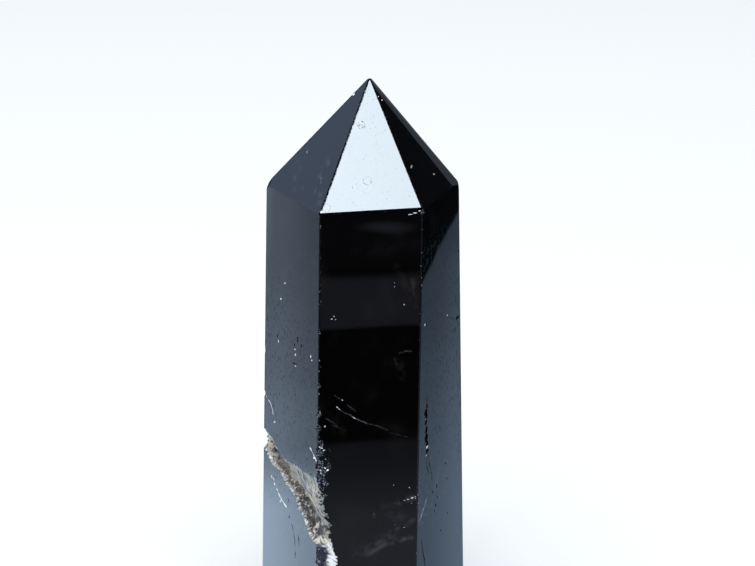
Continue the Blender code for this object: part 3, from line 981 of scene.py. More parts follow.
def open_recipe(finish, **values):
    """Empties a finish and gives back its tree, its shader and the place on the stone."""
    tree = finish.node_tree
    tree.nodes.clear()
    shader = add_node(tree, "BsdfPrincipled", values)
    output = add_node(tree, "OutputMaterial")
    tree.links.new(shader.outputs["BSDF"], output.inputs["Surface"])
    return tree, shader, stone_place(tree)


def connect(tree, shader, **outputs):
    """Links outputs to the shader's sockets, written with an underscore for a space."""
    for name, output in outputs.items():
        tree.links.new(output, shader.inputs[name.replace("_", " ")])


QUARTZ_IOR = 1.544
print("Helpers are ready")

# %% [markdown]
# ## The polish
#
# Black quartz has hardly a colour of its own. Its faces show the room, and what gives the polish away is
# small: the wheel leaves a face very slightly wavy, hairline marks and faint milky veils lie in and on it,
# and touching leaves rings that dull it. So the colour is almost black with a few pale wisps, the
# roughness is low and goes up under the smudges, and two bumps make the waviness and the fine flecks. The
# wisps are drawn as lines between named places, by a small node group that measures the distance to a
# line.

# %% Make the fine line group
def line_group():
    """A node group that is 1 on a line between two points and falls to 0 at its width."""
    group = bpy.data.node_groups.new("fine_line", "ShaderNodeTree")
    for name, kind in (("Place", "Vector"), ("Start", "Vector"), ("End", "Vector"), ("Width", "Float")):
        group.interface.new_socket(name, in_out="INPUT", socket_type="NodeSocket" + kind)
    group.interface.new_socket("Share", in_out="OUTPUT", socket_type="NodeSocketFloat")
    start = add_node(group, "VectorMath", operation="SUBTRACT")
    way = add_node(group, "VectorMath", operation="SUBTRACT")
    given = group.nodes.new("NodeGroupInput").outputs
    for node, pair in ((start, ("Place", "Start")), (way, ("End", "Start"))):
        for number, name in enumerate(pair):
            group.links.new(given[name], node.inputs[number])
    reach = add_node(group, "VectorMath", {0: start.outputs[0], 1: way.outputs[0]}, operation="DOT_PRODUCT")
    length = add_node(group, "VectorMath", {0: way.outputs[0], 1: way.outputs[0]}, operation="DOT_PRODUCT")
    share = calculate(group, "DIVIDE", reach.outputs["Value"], length.outputs["Value"])
    share = add_node(group, "Clamp", {"Value": share}).outputs[0]
    nearest = add_node(group, "VectorMath", {0: way.outputs[0], "Scale": share}, operation="SCALE")
    apart = add_node(group, "VectorMath", {0: start.outputs[0], 1: nearest.outputs[0]}, operation="DISTANCE")
    fallen = add_node(group, "MapRange", {"Value": apart.outputs["Value"], "From Max": given["Width"],
                                          "To Min": 1.0, "To Max": 0.0}, interpolation_type="SMOOTHSTEP")
    result = group.nodes.new("NodeGroupOutput")
    group.links.new(fallen.outputs["Result"], result.inputs["Share"])
    return group


FINE_LINE = line_group()


def line_share(tree, place, start, end, width, strength):
    """How much of a wisp from start to end shows at a place."""
    node = tree.nodes.new("ShaderNodeGroup")
    node.node_tree = FINE_LINE
    tree.links.new(place, node.inputs["Place"])
    node.inputs["Start"].default_value = placed(start) / MM
    node.inputs["End"].default_value = placed(end) / MM
    node.inputs["Width"].default_value = width
    return calculate(tree, "MULTIPLY", node.outputs["Share"], strength)


def strongest(tree, shares):
    """The largest of several shares."""
    result = shares[0]
    for share in shares[1:]:
        result = calculate(tree, "MAXIMUM", result, share)
    return result


print("The line group has", len(FINE_LINE.nodes), "nodes")

# %% Draw the wisps, veils and smudges
WISPS = (
    # face, stations (across, z), width, strength
    (FRONT, ((2.4, 44.8), (3.64, 43.9)), 0.12, 0.10),
    (FRONT, ((4.4, 43.2), (5.57, 42.2)), 0.18, 0.08),
    (FRONT, ((2.94, 42.8), (3.86, 42.0), (4.8, 41.6)), 0.14, 0.12),
    (FRONT, ((4.8, 41.6), (5.41, 41.1), (6.24, 40.7), (7.23, 40.2)), 0.16, 0.20),
    (FRONT, ((7.23, 40.2), (8.95, 39.7), (10.4, 39.0)), 0.16, 0.10),
    (FRONT, ((11.0, 38.5), (13.4, 37.8)), 0.14, 0.05),
    (FRONT, ((1.2, 41.2), (2.2, 40.5), (3.2, 39.6)), 0.18, 0.08),
    (FRONT, ((2.0, 40.2), (4.0, 39.2)), 0.20, 0.05),
    (FRONT, ((12.0, 51.1), (12.9, 51.4), (13.9, 51.3)), 0.22, 0.09),
    (FRONT, ((11.3, 50.2), (11.6, 49.4)), 0.30, 0.04),
    (FRONT, ((8.6, 25.6), (8.7, 24.9)), 0.30, 0.06),
    (RIGHT, ((3.4, 26.2), (2.2, 25.0), (1.0, 23.8)), 0.45, 0.40),
    (RIGHT, ((5.0, 24.5), (6.6, 27.4), (8.2, 29.6)), 0.70, 0.05),
    (LEFT, ((9.4, 30.9), (10.2, 30.3)), 0.70, 0.12),
    (LEFT, ((9.2, 65.4), (9.7, 65.0)), 0.45, 0.05),
)
VEILS = (
    # rusty and fine, and after them the paler, broader mists
    (FRONT, ((13.8, 62.2), (13.5, 60.4), (14.3, 58.4)), 0.8, 0.35),
    (FRONT, ((11.9, 49.8), (12.6, 47.4)), 1.2, 0.10),
    (FRONT, ((2.0, 41.6), (3.4, 38.8)), 1.5, 0.08),
    (FRONT, ((11.3, 64.3), (12.6, 61.5)), 0.9, 0.12),
)
MISTS = (
    (FRONT, ((14.8, 24.2), (12.9, 23.4), (11.4, 22.3)), 0.8, 0.35),
    (FRONT, ((14.4, 21.3), (12.0, 21.0), (9.7, 20.1), (6.9, 18.2)), 0.7, 0.55),
    (FRONT, ((11.5, 21.8), (8.5, 20.4), (6.5, 18.8)), 1.5, 0.35),
    (FRONT, ((15.0, 28.0), (12.0, 27.2)), 0.9, 0.45),
    (FRONT, ((10.6, 26.3), (12.8, 24.4)), 1.6, 0.20),
)
TIP_WISPS = (
    # tip face, start and end (along, up), width, strength
    (LEFT, (3.9, 7.4), (4.3, 6.9), 0.14, 0.40),
    (LEFT, (10.3, 4.7), (11.0, 4.0), 0.22, 0.30),
    (LEFT, (7.6, 2.4), (8.8, 1.4), 0.60, 0.06),
    (LEFT, (10.7, 2.9), (11.0, 2.0), 0.18, 0.20),
    (LEFT, (8.6, 7.9), (9.9, 7.0), 0.60, 0.05),
    (LEFT, (3.2, 6.0), (4.8, 4.0), 1.30, 0.03),
    (LEFT, (12.2, 2.4), (13.2, 1.2), 0.80, 0.05),
    (LEFT, (9.0, 6.0), (9.8, 4.6), 0.50, 0.07),
    (LEFT, (5.0, 3.0), (6.4, 1.4), 0.90, 0.03),
)
RINGS = (
    # on the front face of the tip: middle (along, up), radius, strength
    ((6.98, 13.32), 0.55, 0.9), ((6.90, 13.15), 0.22, 0.8), ((7.20, 4.65), 0.62, 0.9),
    ((7.35, 4.30), 0.25, 0.6), ((6.75, 3.95), 1.20, 0.55), ((5.25, 3.85), 0.40, 0.60),
    ((0.90, 0.90), 0.60, 0.8),
)
SMUDGES = (
    # middle (along, up), radius, strength
    ((7.0, 13.4), 0.7, 0.25), ((5.05, 3.76), 0.3, 0.45), ((9.84, 2.22), 0.25, 0.3), ((9.23, 12.06), 0.18, 0.5),
    ((9.4, 9.4), 0.16, 0.5), ((7.3, 4.3), 1.1, 0.10), ((9.6, 17.4), 0.12, 0.9), ((6.6, 11.7), 0.3, 0.15),
    ((11.0, 1.0), 0.7, 0.10), ((12.6, 0.6), 0.7, 0.15), ((0.7, 0.8), 0.7, 0.35),
)
RING_WIDTH = 0.20
SMUDGE_FADE = 1.6           # a smudge ends at so many times its radius


def wisps_on(tree, place, wisps, locate):
    """The share of several broken lines, each through its stations on a face."""
    shares = []
    for face, stations, width, strength in wisps:
        points = [locate(face, *station) for station in stations]
        for start, end in zip(points, points[1:]):
            shares.append(line_share(tree, place, start, end, width, strength))
    return strongest(tree, shares)


def distance_to(tree, place, point):
    """Distance in millimetres from a point of the drawing."""
    inputs = {0: place, 1: placed(point) / MM}
    return add_node(tree, "VectorMath", inputs, operation="DISTANCE").outputs["Value"]


def ring_share(tree, place):
    """The outlines of the finger rings on the front face of the tip."""
    shares = []
    for (along, up), radius, strength in RINGS:
        apart = distance_to(tree, place, on_tip(FRONT, along, up))
        off_ring = calculate(tree, "ABSOLUTE", calculate(tree, "SUBTRACT", apart, radius))
        on_ring = calculate(tree, "SUBTRACT", 1.0, step_between(tree, off_ring, 0.0, RING_WIDTH))
        shares.append(calculate(tree, "MULTIPLY", on_ring, strength))
    return strongest(tree, shares)


def smudge_share(tree, place):
    """Touches that dull the front face of the tip."""
    shares = []
    for (along, up), radius, strength in SMUDGES:
        apart = distance_to(tree, place, on_tip(FRONT, along, up))
        within = calculate(tree, "SUBTRACT", 1.0, step_between(tree, apart, 0.0, radius * SMUDGE_FADE))
        shares.append(calculate(tree, "MULTIPLY", within, strength))
    return strongest(tree, shares)


print("Wisps:", len(WISPS) + len(TIP_WISPS), "rings:", len(RINGS), "smudges:", len(SMUDGES))

# %% Mix the polish
BLACK, SMOKE, MILK = (0.0005, 0.0004, 0.0005), (0.0035, 0.0030, 0.0034), (0.42, 0.46, 0.52)
RUST, MIST = (0.05, 0.035, 0.03), (0.050, 0.052, 0.062)
CLEAN_ROUGHNESS, DULL_ROUGHNESS = 0.012, 0.30
WAVE_DEPTH, RING_DEPTH, FLECK_DEPTH = 0.008, 0.020, 0.035       # millimetres
FLECKS_ABOVE, FLECKS_BELOW = (18.0, 33.0), (70.0, 45.0)         # heights between which flecks come and go
OFF_FRONT = (0.02, 0.06)        # so far behind the front face's plane, a place is on another face
PIT_SHARE = 0.35

tree, shader, place = open_recipe(finishes[POLISHED], IOR=QUARTZ_IOR)
cloud = grain_node(tree, place, 6.0, detail=4.0)
colour = lay_over(tree, step_between(tree, cloud, 0.48, 0.75), BLACK, SMOKE)
tip_wisps = [(face, (start, end), width, strength) for face, start, end, width, strength in TIP_WISPS]
clouded = step_between(tree, grain_node(tree, place, 1.1, detail=4.0), 0.38, 0.66)
wisps = wisps_on(tree, place, WISPS, on_prism)
broken_up = step_between(tree, grain_node(tree, place, 0.35, detail=4.0), 0.30, 0.72)
wisps = calculate(tree, "MULTIPLY", wisps, broken_up)
soft_wisps = calculate(tree, "MULTIPLY", wisps_on(tree, place, tip_wisps, on_tip), clouded)
wisps = calculate(tree, "MAXIMUM", wisps, soft_wisps)
veils = calculate(tree, "MULTIPLY", wisps_on(tree, place, VEILS, on_prism), clouded)
colour = lay_over(tree, veils, colour, RUST)
mists = calculate(tree, "MULTIPLY", wisps_on(tree, place, MISTS, on_prism), clouded)
colour = lay_over(tree, mists, colour, MIST)
colour = lay_over(tree, wisps, colour, MILK)
smudges = smudge_share(tree, place)
rubbed = step_between(tree, grain_node(tree, place, 2.2, detail=5.0), 0.45, 0.8)
dull = calculate(tree, "MAXIMUM", smudges, calculate(tree, "MULTIPLY", rubbed, 0.03))
roughness = add_node(tree, "MapRange", {"Value": dull, "To Min": CLEAN_ROUGHNESS, "To Max": DULL_ROUGHNESS})
wavy = bumped(tree, grain_node(tree, place, 9.0, detail=1.0), WAVE_DEPTH)
ringed = bumped(tree, calculate(tree, "MULTIPLY", ring_share(tree, place), broken_up), RING_DEPTH, wavy)
height_up = add_node(tree, "SeparateXYZ", {0: place}).outputs["Z"]
on_prism_only = calculate(tree, "MULTIPLY", step_between(tree, height_up, *FLECKS_BELOW),
                          step_between(tree, height_up, *FLECKS_ABOVE))
front_normal, front_distance = face_plane(FRONT)
front_distance += front_normal.dot(SHIFT) / MM
outwards = add_node(tree, "VectorMath", {0: place, 1: front_normal}, operation="DOT_PRODUCT").outputs["Value"]
off_front = step_between(tree, outwards, *(front_distance - gap for gap in OFF_FRONT))
on_prism_only = calculate(tree, "MULTIPLY", on_prism_only, off_front)
fleck_noise = grain_node(tree, place, 0.26, detail=1.0, stretch=(1.0, 1.0, 3.0))
flecks = calculate(tree, "MULTIPLY", step_between(tree, fleck_noise, 0.64, 0.72), on_prism_only)
pits = step_between(tree, grain_node(tree, place, 0.20, detail=1.0, shift=(3.0, 5.0, 7.0)), 0.74, 0.80)
pits = calculate(tree, "MULTIPLY", pits, calculate(tree, "MULTIPLY", off_front, PIT_SHARE))
untouched = calculate(tree, "SUBTRACT", 1.0, calculate(tree, "MAXIMUM", flecks, pits))
pitted = bumped(tree, untouched, FLECK_DEPTH, ringed)
connect(tree, shader, Base_Color=colour, Roughness=roughness.outputs[0], Normal=pitted)
print("The polish has", len(tree.nodes), "nodes")

# %% [markdown]
# ## The other finishes
#
# The worn edges are the same stone, rubbed: rougher, with tiny pale nicks. The foot is ground flat but not
# polished, so it is a soft dark grey with fine scratches. A fresh chip is glassy and uneven, with painted
# glints. The fracture takes its painted colour and adds grit, with painted shade in the grit's low spots,
# and crushed quartz is the palest of all. The deep cracks and dark pits get a near-black finish that hardly
# reflects, which is painted shade, with a few painted glints.

# %% Mix the worn edge and the ground foot
NICK_GREY = (0.07, 0.075, 0.095)
SAWN_DARK, SAWN_PALE = (0.022, 0.021, 0.023), (0.050, 0.049, 0.052)

tree, shader, place = open_recipe(finishes[WORN], IOR=QUARTZ_IOR)
nicks = step_between(tree, grain_node(tree, place, 0.22, detail=2.0), 0.66, 0.74)
colour = lay_over(tree, nicks, BLACK, NICK_GREY)
roughness = add_node(tree, "MapRange", {"Value": nicks, "To Min": 0.08, "To Max": 0.5})
connect(tree, shader, Base_Color=colour, Roughness=roughness.outputs[0],
        Normal=bumped(tree, grain_node(tree, place, 0.3, detail=3.0), 0.02))

tree, shader, place = open_recipe(finishes[GROUND], IOR=QUARTZ_IOR)
saw_marks = grain_node(tree, place, 0.35, detail=3.0, stretch=(14.0, 1.0, 1.0))
colour = lay_over(tree, step_between(tree, saw_marks, 0.4, 0.7), SAWN_DARK, SAWN_PALE)
roughness = add_node(tree, "MapRange", {"Value": grain_node(tree, place, 1.5), "To Min": 0.45, "To Max": 0.62})
connect(tree, shader, Base_Color=colour, Roughness=roughness.outputs[0], Normal=bumped(tree, saw_marks, 0.02))
print("Worn edge and ground foot are mixed")

# %% Mix the chips, the fracture and the crushed quartz
CHIP_DARK, CHIP_PAINTED_GLINT = (0.003, 0.004, 0.012), (0.46, 0.50, 0.60)
GRIT_PAINTED_SHADE, GRIT_PALE = (0.020, 0.020, 0.024), (0.80, 0.80, 0.78)
CRUSHED_GREY, CRUSHED_PALE = (0.42, 0.45, 0.52), (0.92, 0.94, 0.98)
CRACK_PAINTED_SHADE, CRACK_PAINTED_GLINT = (0.0006, 0.0006, 0.0010), (0.10, 0.11, 0.14)
CRACK_SPECULAR = 0.06

tree, shader, place = open_recipe(finishes[CHIPPED], IOR=QUARTZ_IOR)
# Pale flecks in the chips' colour are painted glints.
painted_glints = step_between(tree, grain_node(tree, place, 0.18, detail=2.0), 0.56, 0.66)
colour = lay_over(tree, painted_glints, CHIP_DARK, CHIP_PAINTED_GLINT)
roughness = add_node(tree, "MapRange", {"Value": grain_node(tree, place, 0.5), "To Min": 0.12, "To Max": 0.4})
connect(tree, shader, Base_Color=colour, Roughness=roughness.outputs[0],
        Normal=bumped(tree, grain_node(tree, place, 0.25, detail=2.0), 0.04))

tree, shader, place = open_recipe(finishes[FRACTURE], IOR=QUARTZ_IOR)
painted_on = add_node(tree, "Attribute", attribute_name="fracture_colour").outputs["Color"]
pattern = add_node(tree, "Attribute", attribute_name="fracture_pattern").outputs["Vector"]
crumbly = add_node(tree, "SeparateXYZ", {0: pattern}).outputs["Z"]
ribs = grain_node(tree, pattern, 0.20, detail=4.0, stretch=(1.0, 7.0, 1.0))
crumbs = grain_node(tree, place, 0.26, detail=3.0)
grit = add_node(tree, "Mix", {0: crumbly, 2: ribs, 3: crumbs}).outputs[0]
# The grit's low spots, which the bump sinks, are darkened: painted shade in its crevices.
crevice_shade = calculate(tree, "MULTIPLY", step_between(tree, grit, 0.49, 0.38), 0.88)
colour = lay_over(tree, crevice_shade, painted_on, GRIT_PAINTED_SHADE)
paler = calculate(tree, "MULTIPLY", step_between(tree, grit, 0.56, 0.70), 0.38)
colour = lay_over(tree, paler, colour, GRIT_PALE)
roughness = add_node(tree, "MapRange", {"Value": grit, "To Min": 0.35, "To Max": 0.75})
connect(tree, shader, Base_Color=colour, Roughness=roughness.outputs[0], Normal=bumped(tree, grit, 0.12))

tree, shader, place = open_recipe(finishes[CRUSHED], IOR=QUARTZ_IOR)
crumbs = grain_node(tree, place, 0.2, detail=3.0)
colour = lay_over(tree, step_between(tree, crumbs, 0.36, 0.48), CRUSHED_GREY, CRUSHED_PALE)
roughness = add_node(tree, "MapRange", {"Value": crumbs, "To Min": 0.4, "To Max": 0.8})
connect(tree, shader, Base_Color=colour, Roughness=roughness.outputs[0], Normal=bumped(tree, crumbs, 0.06))

# The deep cracks, the gash and the dark pits are near-black and hardly reflect: painted shade, with a few
# painted glints.
tree, shader, place = open_recipe(finishes[DEEP], IOR=QUARTZ_IOR)
shader.inputs["Specular IOR Level"].default_value = CRACK_SPECULAR
shade_and_glints = grain_node(tree, place, 0.3, detail=2.0)
colour = lay_over(tree, step_between(tree, shade_and_glints, 0.58, 0.70), CRACK_PAINTED_SHADE, CRACK_PAINTED_GLINT)
roughness = add_node(tree, "MapRange", {"Value": shade_and_glints, "To Min": 0.4, "To Max": 0.7})
connect(tree, shader, Base_Color=colour, Roughness=roughness.outputs[0], Normal=bumped(tree, shade_and_glints, 0.05))
print("Chips, fracture, crushed quartz and deep cracks are mixed")

# %% [markdown]
# ## Handing the crystal to the frame
#
# The crystal now stands for the solid it was measured from. It rides on the one body there is.

# %% Put the crystal in the frame
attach(crystal, "root")
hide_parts("quartz_point")
print("The crystal has", sum(len(polygon.vertices) - 2 for polygon in crystal.data.polygons), "triangles")

# %% [markdown]
# ## Floor and soft light
#
# The stone stands on a plain white floor that runs far back, under a large soft lamp and a white sky. The
# floor and the lamp are hidden from reflections, because the next step gives the polish a room of its own
# to show.

# %% Lay the floor and hang the lamp
FLOOR_SIZE = 9.0
FLOOR_WHITE = (0.93, 0.965, 0.985)
FLOOR_ROUGHNESS = 0.9
SKY_WHITE = (0.97, 0.985, 1.0)
SKY_LIGHT = 0.885
LAMP_PLACE = Vector((-0.12, -0.30, 0.75))
LAMP_SIZE = 0.8
LAMP_POWER = 3.0

deselect_everything()
bpy.ops.mesh.primitive_plane_add(size=FLOOR_SIZE, location=(0.0, 0.0, 0.0))
floor = bpy.context.object
floor.name = "floor"
floor.visible_glossy = False
floor_paint = bpy.data.materials.new("floor_white")
floor_paint.use_nodes = True
tree, shader, place = open_recipe(floor_paint, Roughness=FLOOR_ROUGHNESS)
shader.inputs["Base Color"].default_value = (*FLOOR_WHITE, 1.0)
floor.data.materials.append(floor_paint)
floor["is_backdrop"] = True

bpy.ops.object.light_add(type="AREA", location=LAMP_PLACE)
lamp = bpy.context.object
lamp.rotation_euler = (-LAMP_PLACE).to_track_quat("-Z", "Y").to_euler()
lamp.data.size = LAMP_SIZE
lamp.data.energy = LAMP_POWER
lamp.visible_glossy = False

world = bpy.data.worlds.new("white_sky")
bpy.context.scene.world = world
world.use_nodes = True
world.node_tree.nodes["Background"].inputs["Color"].default_value = (*SKY_WHITE, 1.0)
world.node_tree.nodes["Background"].inputs["Strength"].default_value = SKY_LIGHT
world.cycles_visibility.glossy = False
bpy.context.scene.view_settings.view_transform = "Standard"
print("Floor", FLOOR_SIZE, "m wide, lamp at", [round(value, 2) for value in LAMP_PLACE])

# %% [markdown]
# ## The room that the polish shows
#
# A black mirror looks like whatever stands round it, so a photographer lights it with cards: white ones
# where a face should glow, black ones where it should stay deep. Here there are two, seen by reflections
# alone. The upper one is a large dome, painted by direction: a bright window high in front for the front
# of the tip, a pale wall on the left, and dark corners. The lower one lies on the floor, painted by place.
#
# For each face, the mirrored line of sight was followed to where it meets the dome or the floor,
# and that place was painted as bright as the face needs, divided by how little quartz reflects.

# %% Paint the dome
DOME_RADIUS = 2.0
SKY_BLUE = (0.62, 0.80, 1.0)
WINDOW_WHITE = (0.84, 0.96, 1.06)
WALL_TINT = (0.72, 0.96, 1.40)
BAND_TINT = (0.62, 0.74, 0.92)
SKY_RISE, SKY_GAIN, SKY_BASE = (0.0, 60.0), 0.5, 0.55           # the sky is paler higher up
DARK_PATCHES = (
    # azimuths, heights, what is left of the light
    ((-100.0, 60.0), (-30.0, 75.0), 0.05),
    ((30.0, 160.0), (-30.0, 75.0), 0.05),
    ((-181.0, -124.0), (-30.0, 75.0), 0.12),
    ((159.0, 181.0), (-30.0, 75.0), 0.12),
)
WALL_PLACE = ((-124.0, -96.0), (-6.0, 56.0))                    # azimuths and heights
WINDOW_PLACE = ((-14.0, 30.0), (38.0, 66.0))
WINDOW_GLOW, WINDOW_FALL = 22.0, -0.25                          # in front, and for each degree to the right
BAND_PLACE = ((132.6, 150.0), (0.0, 30.0))
BAND_STEP, BAND_GAIN, BAND_BASE = (136.4, 137.0), 0.38, 0.38
SOFT, BAND_SOFT = 1.5, 0.8                                      # degrees


def glow_only(thing, name):
    """Makes a stage object that only reflections see, and gives back its empty tree."""
    for ray in ("camera", "diffuse", "transmission", "volume_scatter", "shadow"):
        setattr(thing, "visible_" + ray, False)
    card = bpy.data.materials.new(name)
    card.use_nodes = True
    card.cycles.emission_sampling = "NONE"
    card.node_tree.nodes.clear()
    thing.data.materials.append(card)
    thing.name = name
    thing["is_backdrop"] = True
    return card.node_tree


def glow(tree, colour, strength):
    """Ends a card's recipe."""
    light = add_node(tree, "Emission", {"Color": colour, "Strength": strength})
    output = add_node(tree, "OutputMaterial")
    tree.links.new(light.outputs[0], output.inputs["Surface"])


def between(tree, value, low, high, soft):
    """1 between two limits, with soft borders."""
    rise = step_between(tree, value, low - soft, low + soft)
    fall = step_between(tree, value, high - soft, high + soft)
    return calculate(tree, "SUBTRACT", rise, fall)


def directions(tree):
    """Azimuth, from the front to the right, and height above the horizon, both in degrees."""
    place = add_node(tree, "TexCoord").outputs["Object"]
    unit = add_node(tree, "VectorMath", {0: place}, operation="NORMALIZE").outputs[0]
    x, y, z = add_node(tree, "SeparateXYZ", {0: unit}).outputs
    azimuth = calculate(tree, "ARCTAN2", x, calculate(tree, "MULTIPLY", y, -1.0))
    height = calculate(tree, "ARCSINE", z)
    return [calculate(tree, "DEGREES", angle) for angle in (azimuth, height)]


def patch(tree, angles, azimuths, heights, soft):
    """A soft-edged patch of the dome."""
    return calculate(tree, "MULTIPLY", between(tree, angles[0], *azimuths, soft),
                     between(tree, angles[1], *heights, soft))


deselect_everything()
bpy.ops.mesh.primitive_uv_sphere_add(segments=48, ring_count=24, radius=DOME_RADIUS)
tree = glow_only(bpy.context.object, "card_dome")
angles = directions(tree)
level = calculate(tree, "MULTIPLY_ADD", step_between(tree, angles[1], *SKY_RISE), SKY_GAIN, SKY_BASE)
for azimuths, heights, left in DARK_PATCHES:
    shade = patch(tree, angles, azimuths, heights, SOFT)
    level = calculate(tree, "MULTIPLY", level, calculate(tree, "MULTIPLY_ADD", shade, left - 1.0, 1.0))
wall = patch(tree, angles, *WALL_PLACE, SOFT)
colour = lay_over(tree, wall, SKY_BLUE, WALL_TINT)
level = calculate(tree, "MAXIMUM", level, wall)
band = patch(tree, angles, *BAND_PLACE, BAND_SOFT)
colour = lay_over(tree, band, colour, BAND_TINT)
band_level = calculate(tree, "MULTIPLY_ADD", step_between(tree, angles[0], *BAND_STEP), BAND_GAIN, BAND_BASE)
level = calculate(tree, "MAXIMUM", level, calculate(tree, "MULTIPLY", band, band_level))
window = patch(tree, angles, *WINDOW_PLACE, SOFT)
across_window = calculate(tree, "MULTIPLY_ADD", angles[0], WINDOW_FALL, WINDOW_GLOW)
colour = lay_over(tree, window, colour, WINDOW_WHITE)
strength = calculate(tree, "MULTIPLY_ADD", window, across_window, level)
glow(tree, colour, strength)
print("The window glows at", WINDOW_GLOW, "and the sky between", SKY_BASE, "and", SKY_BASE + SKY_GAIN)

# %% Paint the floor card
CARD_SIZE, CARD_LIFT = 2.4, 0.02                    # metres, and millimetres above the floor
LEFT_LINE = ((-44.0, 6.0), (-270.0, 96.0))          # where the left face's middle looks
DIAGONAL = ((153.0, 111.0), (187.0, 150.0))         # the dark card's edge, seen in the right face
RIGHT_LINE = ((38.0, 18.0), (190.0, 148.0))         # and the right face's middle
PALE_SPOT = (55.0, -297.0, 0.0)


def beside(tree, x, y, line):
    """Distance in millimetres to the left of a line on the floor."""
    (x1, y1), (x2, y2) = line
    length = math.hypot(x2 - x1, y2 - y1)
    across = calculate(tree, "MULTIPLY", x, -(y2 - y1) / length)
    offset = (x1 * (y2 - y1) - y1 * (x2 - x1)) / length
    return calculate(tree, "MULTIPLY_ADD", y, (x2 - x1) / length, calculate(tree, "ADD", across, offset))


def add_ramps(tree, level, value, ramps):
    """Adds to a level what each ramp gives while the value goes from its start to its end."""
    for start, end, amount in ramps:
        level = calculate(tree, "MULTIPLY_ADD", step_between(tree, value, start, end), amount, level)
    return level


deselect_everything()
bpy.ops.mesh.primitive_plane_add(size=CARD_SIZE, location=(0.0, 0.0, CARD_LIFT * MM))
bpy.ops.object.transform_apply(location=True)
tree = glow_only(bpy.context.object, "card_floor")
place = stone_place(tree)
x, y = list(add_node(tree, "SeparateXYZ", {0: place}).outputs)[:2]
far = add_node(tree, "VectorMath", {0: place}, operation="LENGTH").outputs["Value"]
depth = calculate(tree, "MULTIPLY", y, -1.0)
azimuth = calculate(tree, "DEGREES", calculate(tree, "ARCTAN2", x, depth))
print("The card lies", CARD_LIFT, "mm above the floor")

# %% Paint what the left, the right and the front face look at
RIGHT_BASE, RIGHT_RAMPS = 0.295, ((190.0, 40.0, 0.30), (185.0, 225.0, -0.10))
RIGHT_TONE, RIGHT_TONES = 0.78, ((-4.0, 4.0, 0.50),)
LEFT_BASE, LEFT_RAMPS = 0.80, ((240.0, 110.0, 0.34), (96.0, 62.0, 1.68), (140.0, 105.0, 0.32))
LEFT_TONE, LEFT_TONES = 0.78, ((-6.0, 3.0, 0.34), (5.0, 8.5, 0.42))
STRIP_NEAR, STRIP_FAR, STRIP_LEVEL = (195.5, 199.5), (249.0, 238.0), 0.15       # a pale strip in front
FRONT_BASE, FRONT_RAMPS = 0.014, ((119.0, 114.0, 0.10), (115.0, 58.0, 0.24), (243.0, 260.0, 0.02))
SPOT_RAMPS = ((11.0, 1.0, 0.18),)

right_level = add_ramps(tree, RIGHT_BASE, far, RIGHT_RAMPS)
right_tone = add_ramps(tree, RIGHT_TONE, beside(tree, x, y, RIGHT_LINE), RIGHT_TONES)
right_level = calculate(tree, "MULTIPLY", right_level, right_tone)
left_level = add_ramps(tree, LEFT_BASE, far, LEFT_RAMPS)
aside = calculate(tree, "MULTIPLY", beside(tree, x, y, LEFT_LINE), -1.0)
left_level = calculate(tree, "MULTIPLY", left_level, add_ramps(tree, LEFT_TONE, aside, LEFT_TONES))
strip = calculate(tree, "MULTIPLY", step_between(tree, depth, *STRIP_NEAR), STRIP_LEVEL)
strip = calculate(tree, "MULTIPLY", strip, step_between(tree, depth, *STRIP_FAR))
front_level = calculate(tree, "ADD", add_ramps(tree, strip, depth, FRONT_RAMPS), FRONT_BASE)
apart = add_node(tree, "VectorMath", {0: place, 1: PALE_SPOT}, operation="DISTANCE").outputs["Value"]
front_level = add_ramps(tree, front_level, apart, SPOT_RAMPS)
print("The front face looks at", len(FRONT_RAMPS) + 1, "strips and a pale spot")

# %% Join the parts of the floor card
LEFT_SECTOR, FRONT_SECTOR, RIGHT_SECTOR = (-122.0, -70.0), (-46.0, 45.0), (95.0, 150.0)    # azimuths
LEFT_SOFT, FRONT_SOFT, RIGHT_SOFT = 8.0, 16.0, 4.0
BEHIND_LEFT, BEHIND_RIGHT, BEHIND_LEVEL = (-119.0, -128.0), (138.0, 146.0), 0.02
DIAGONAL_SOFT, DIAGONAL_DARK = 0.4, -0.95
RIGHT_TINT, LEFT_TINT, FRONT_TINT = (0.71, 0.99, 1.37), (0.765, 0.985, 1.28), (0.92, 1.00, 1.22)

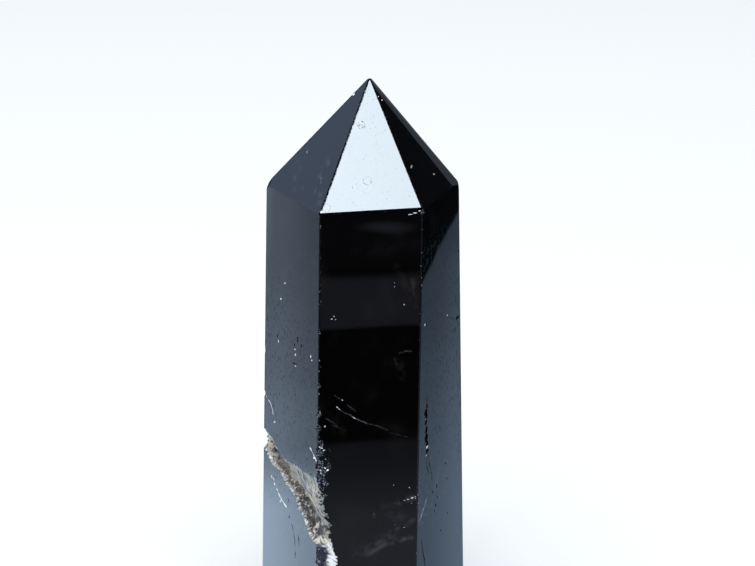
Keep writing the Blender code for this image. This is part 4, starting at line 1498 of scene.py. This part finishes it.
on_left = between(tree, azimuth, *LEFT_SECTOR, LEFT_SOFT)
in_front = between(tree, azimuth, *FRONT_SECTOR, FRONT_SOFT)
behind = calculate(tree, "ADD", step_between(tree, azimuth, *BEHIND_LEFT),
                   step_between(tree, azimuth, *BEHIND_RIGHT))
behind = calculate(tree, "MINIMUM", behind, 1.0)
level = right_level
for share, over in ((on_left, left_level), (in_front, front_level), (behind, BEHIND_LEVEL)):
    level = add_node(tree, "Mix", {0: share, 2: level, 3: over}).outputs[0]
beyond = step_between(tree, beside(tree, x, y, DIAGONAL), -DIAGONAL_SOFT, DIAGONAL_SOFT)
on_right = between(tree, azimuth, *RIGHT_SECTOR, RIGHT_SOFT)
hidden = calculate(tree, "MULTIPLY", calculate(tree, "SUBTRACT", 1.0, beyond), on_right)
level = calculate(tree, "MULTIPLY", level, calculate(tree, "MULTIPLY_ADD", hidden, DIAGONAL_DARK, 1.0))
colour = lay_over(tree, in_front, lay_over(tree, on_left, RIGHT_TINT, LEFT_TINT), FRONT_TINT)
glow(tree, colour, level)
print("The floor card has", len(tree.nodes), "nodes")

# %% [markdown]
# ## The camera
#
# The camera looks slightly down on the point from about a third of a metre, through a long lens, and the
# frame's lower edge cuts the foot off. Its numbers came from fitting the drawing's corners to the
# reference picture.

# %% Set the camera
CAMERA_DISTANCE = 320.0
CAMERA_ELEVATION = math.radians(19.0)
CAMERA_LENS = 100.0
CLIP_NEAR, CLIP_FAR = 0.01, 20.0
AIM = Vector((2.12, 0.0, 57.73))

deselect_everything()
back = Vector((0.0, -math.cos(CAMERA_ELEVATION), math.sin(CAMERA_ELEVATION)))
bpy.ops.object.camera_add(location=placed(AIM + back * CAMERA_DISTANCE))
camera = bpy.context.object
camera.rotation_euler = (-back).to_track_quat("-Z", "Y").to_euler()
camera.data.lens = CAMERA_LENS
camera.data.clip_start = CLIP_NEAR
camera.data.clip_end = CLIP_FAR
bpy.context.scene.camera = camera
print("The camera stands at", [round(value, 3) for value in camera.location])

# %% [markdown]
# ## Comparing the boxes
#
# The dressed crystal has to fill the solid's box and no more. How far their corners lie apart is printed.

# %% Print how far the boxes lie apart
visual_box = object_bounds()
for name, corner, solid_corner in zip(("lowest", "highest"), visual_box, cad_box):
    print("At the", name, "corner, solid less crystal in mm:",
          [round((a - b) / MM, 3) for a, b in zip(solid_corner, corner)])
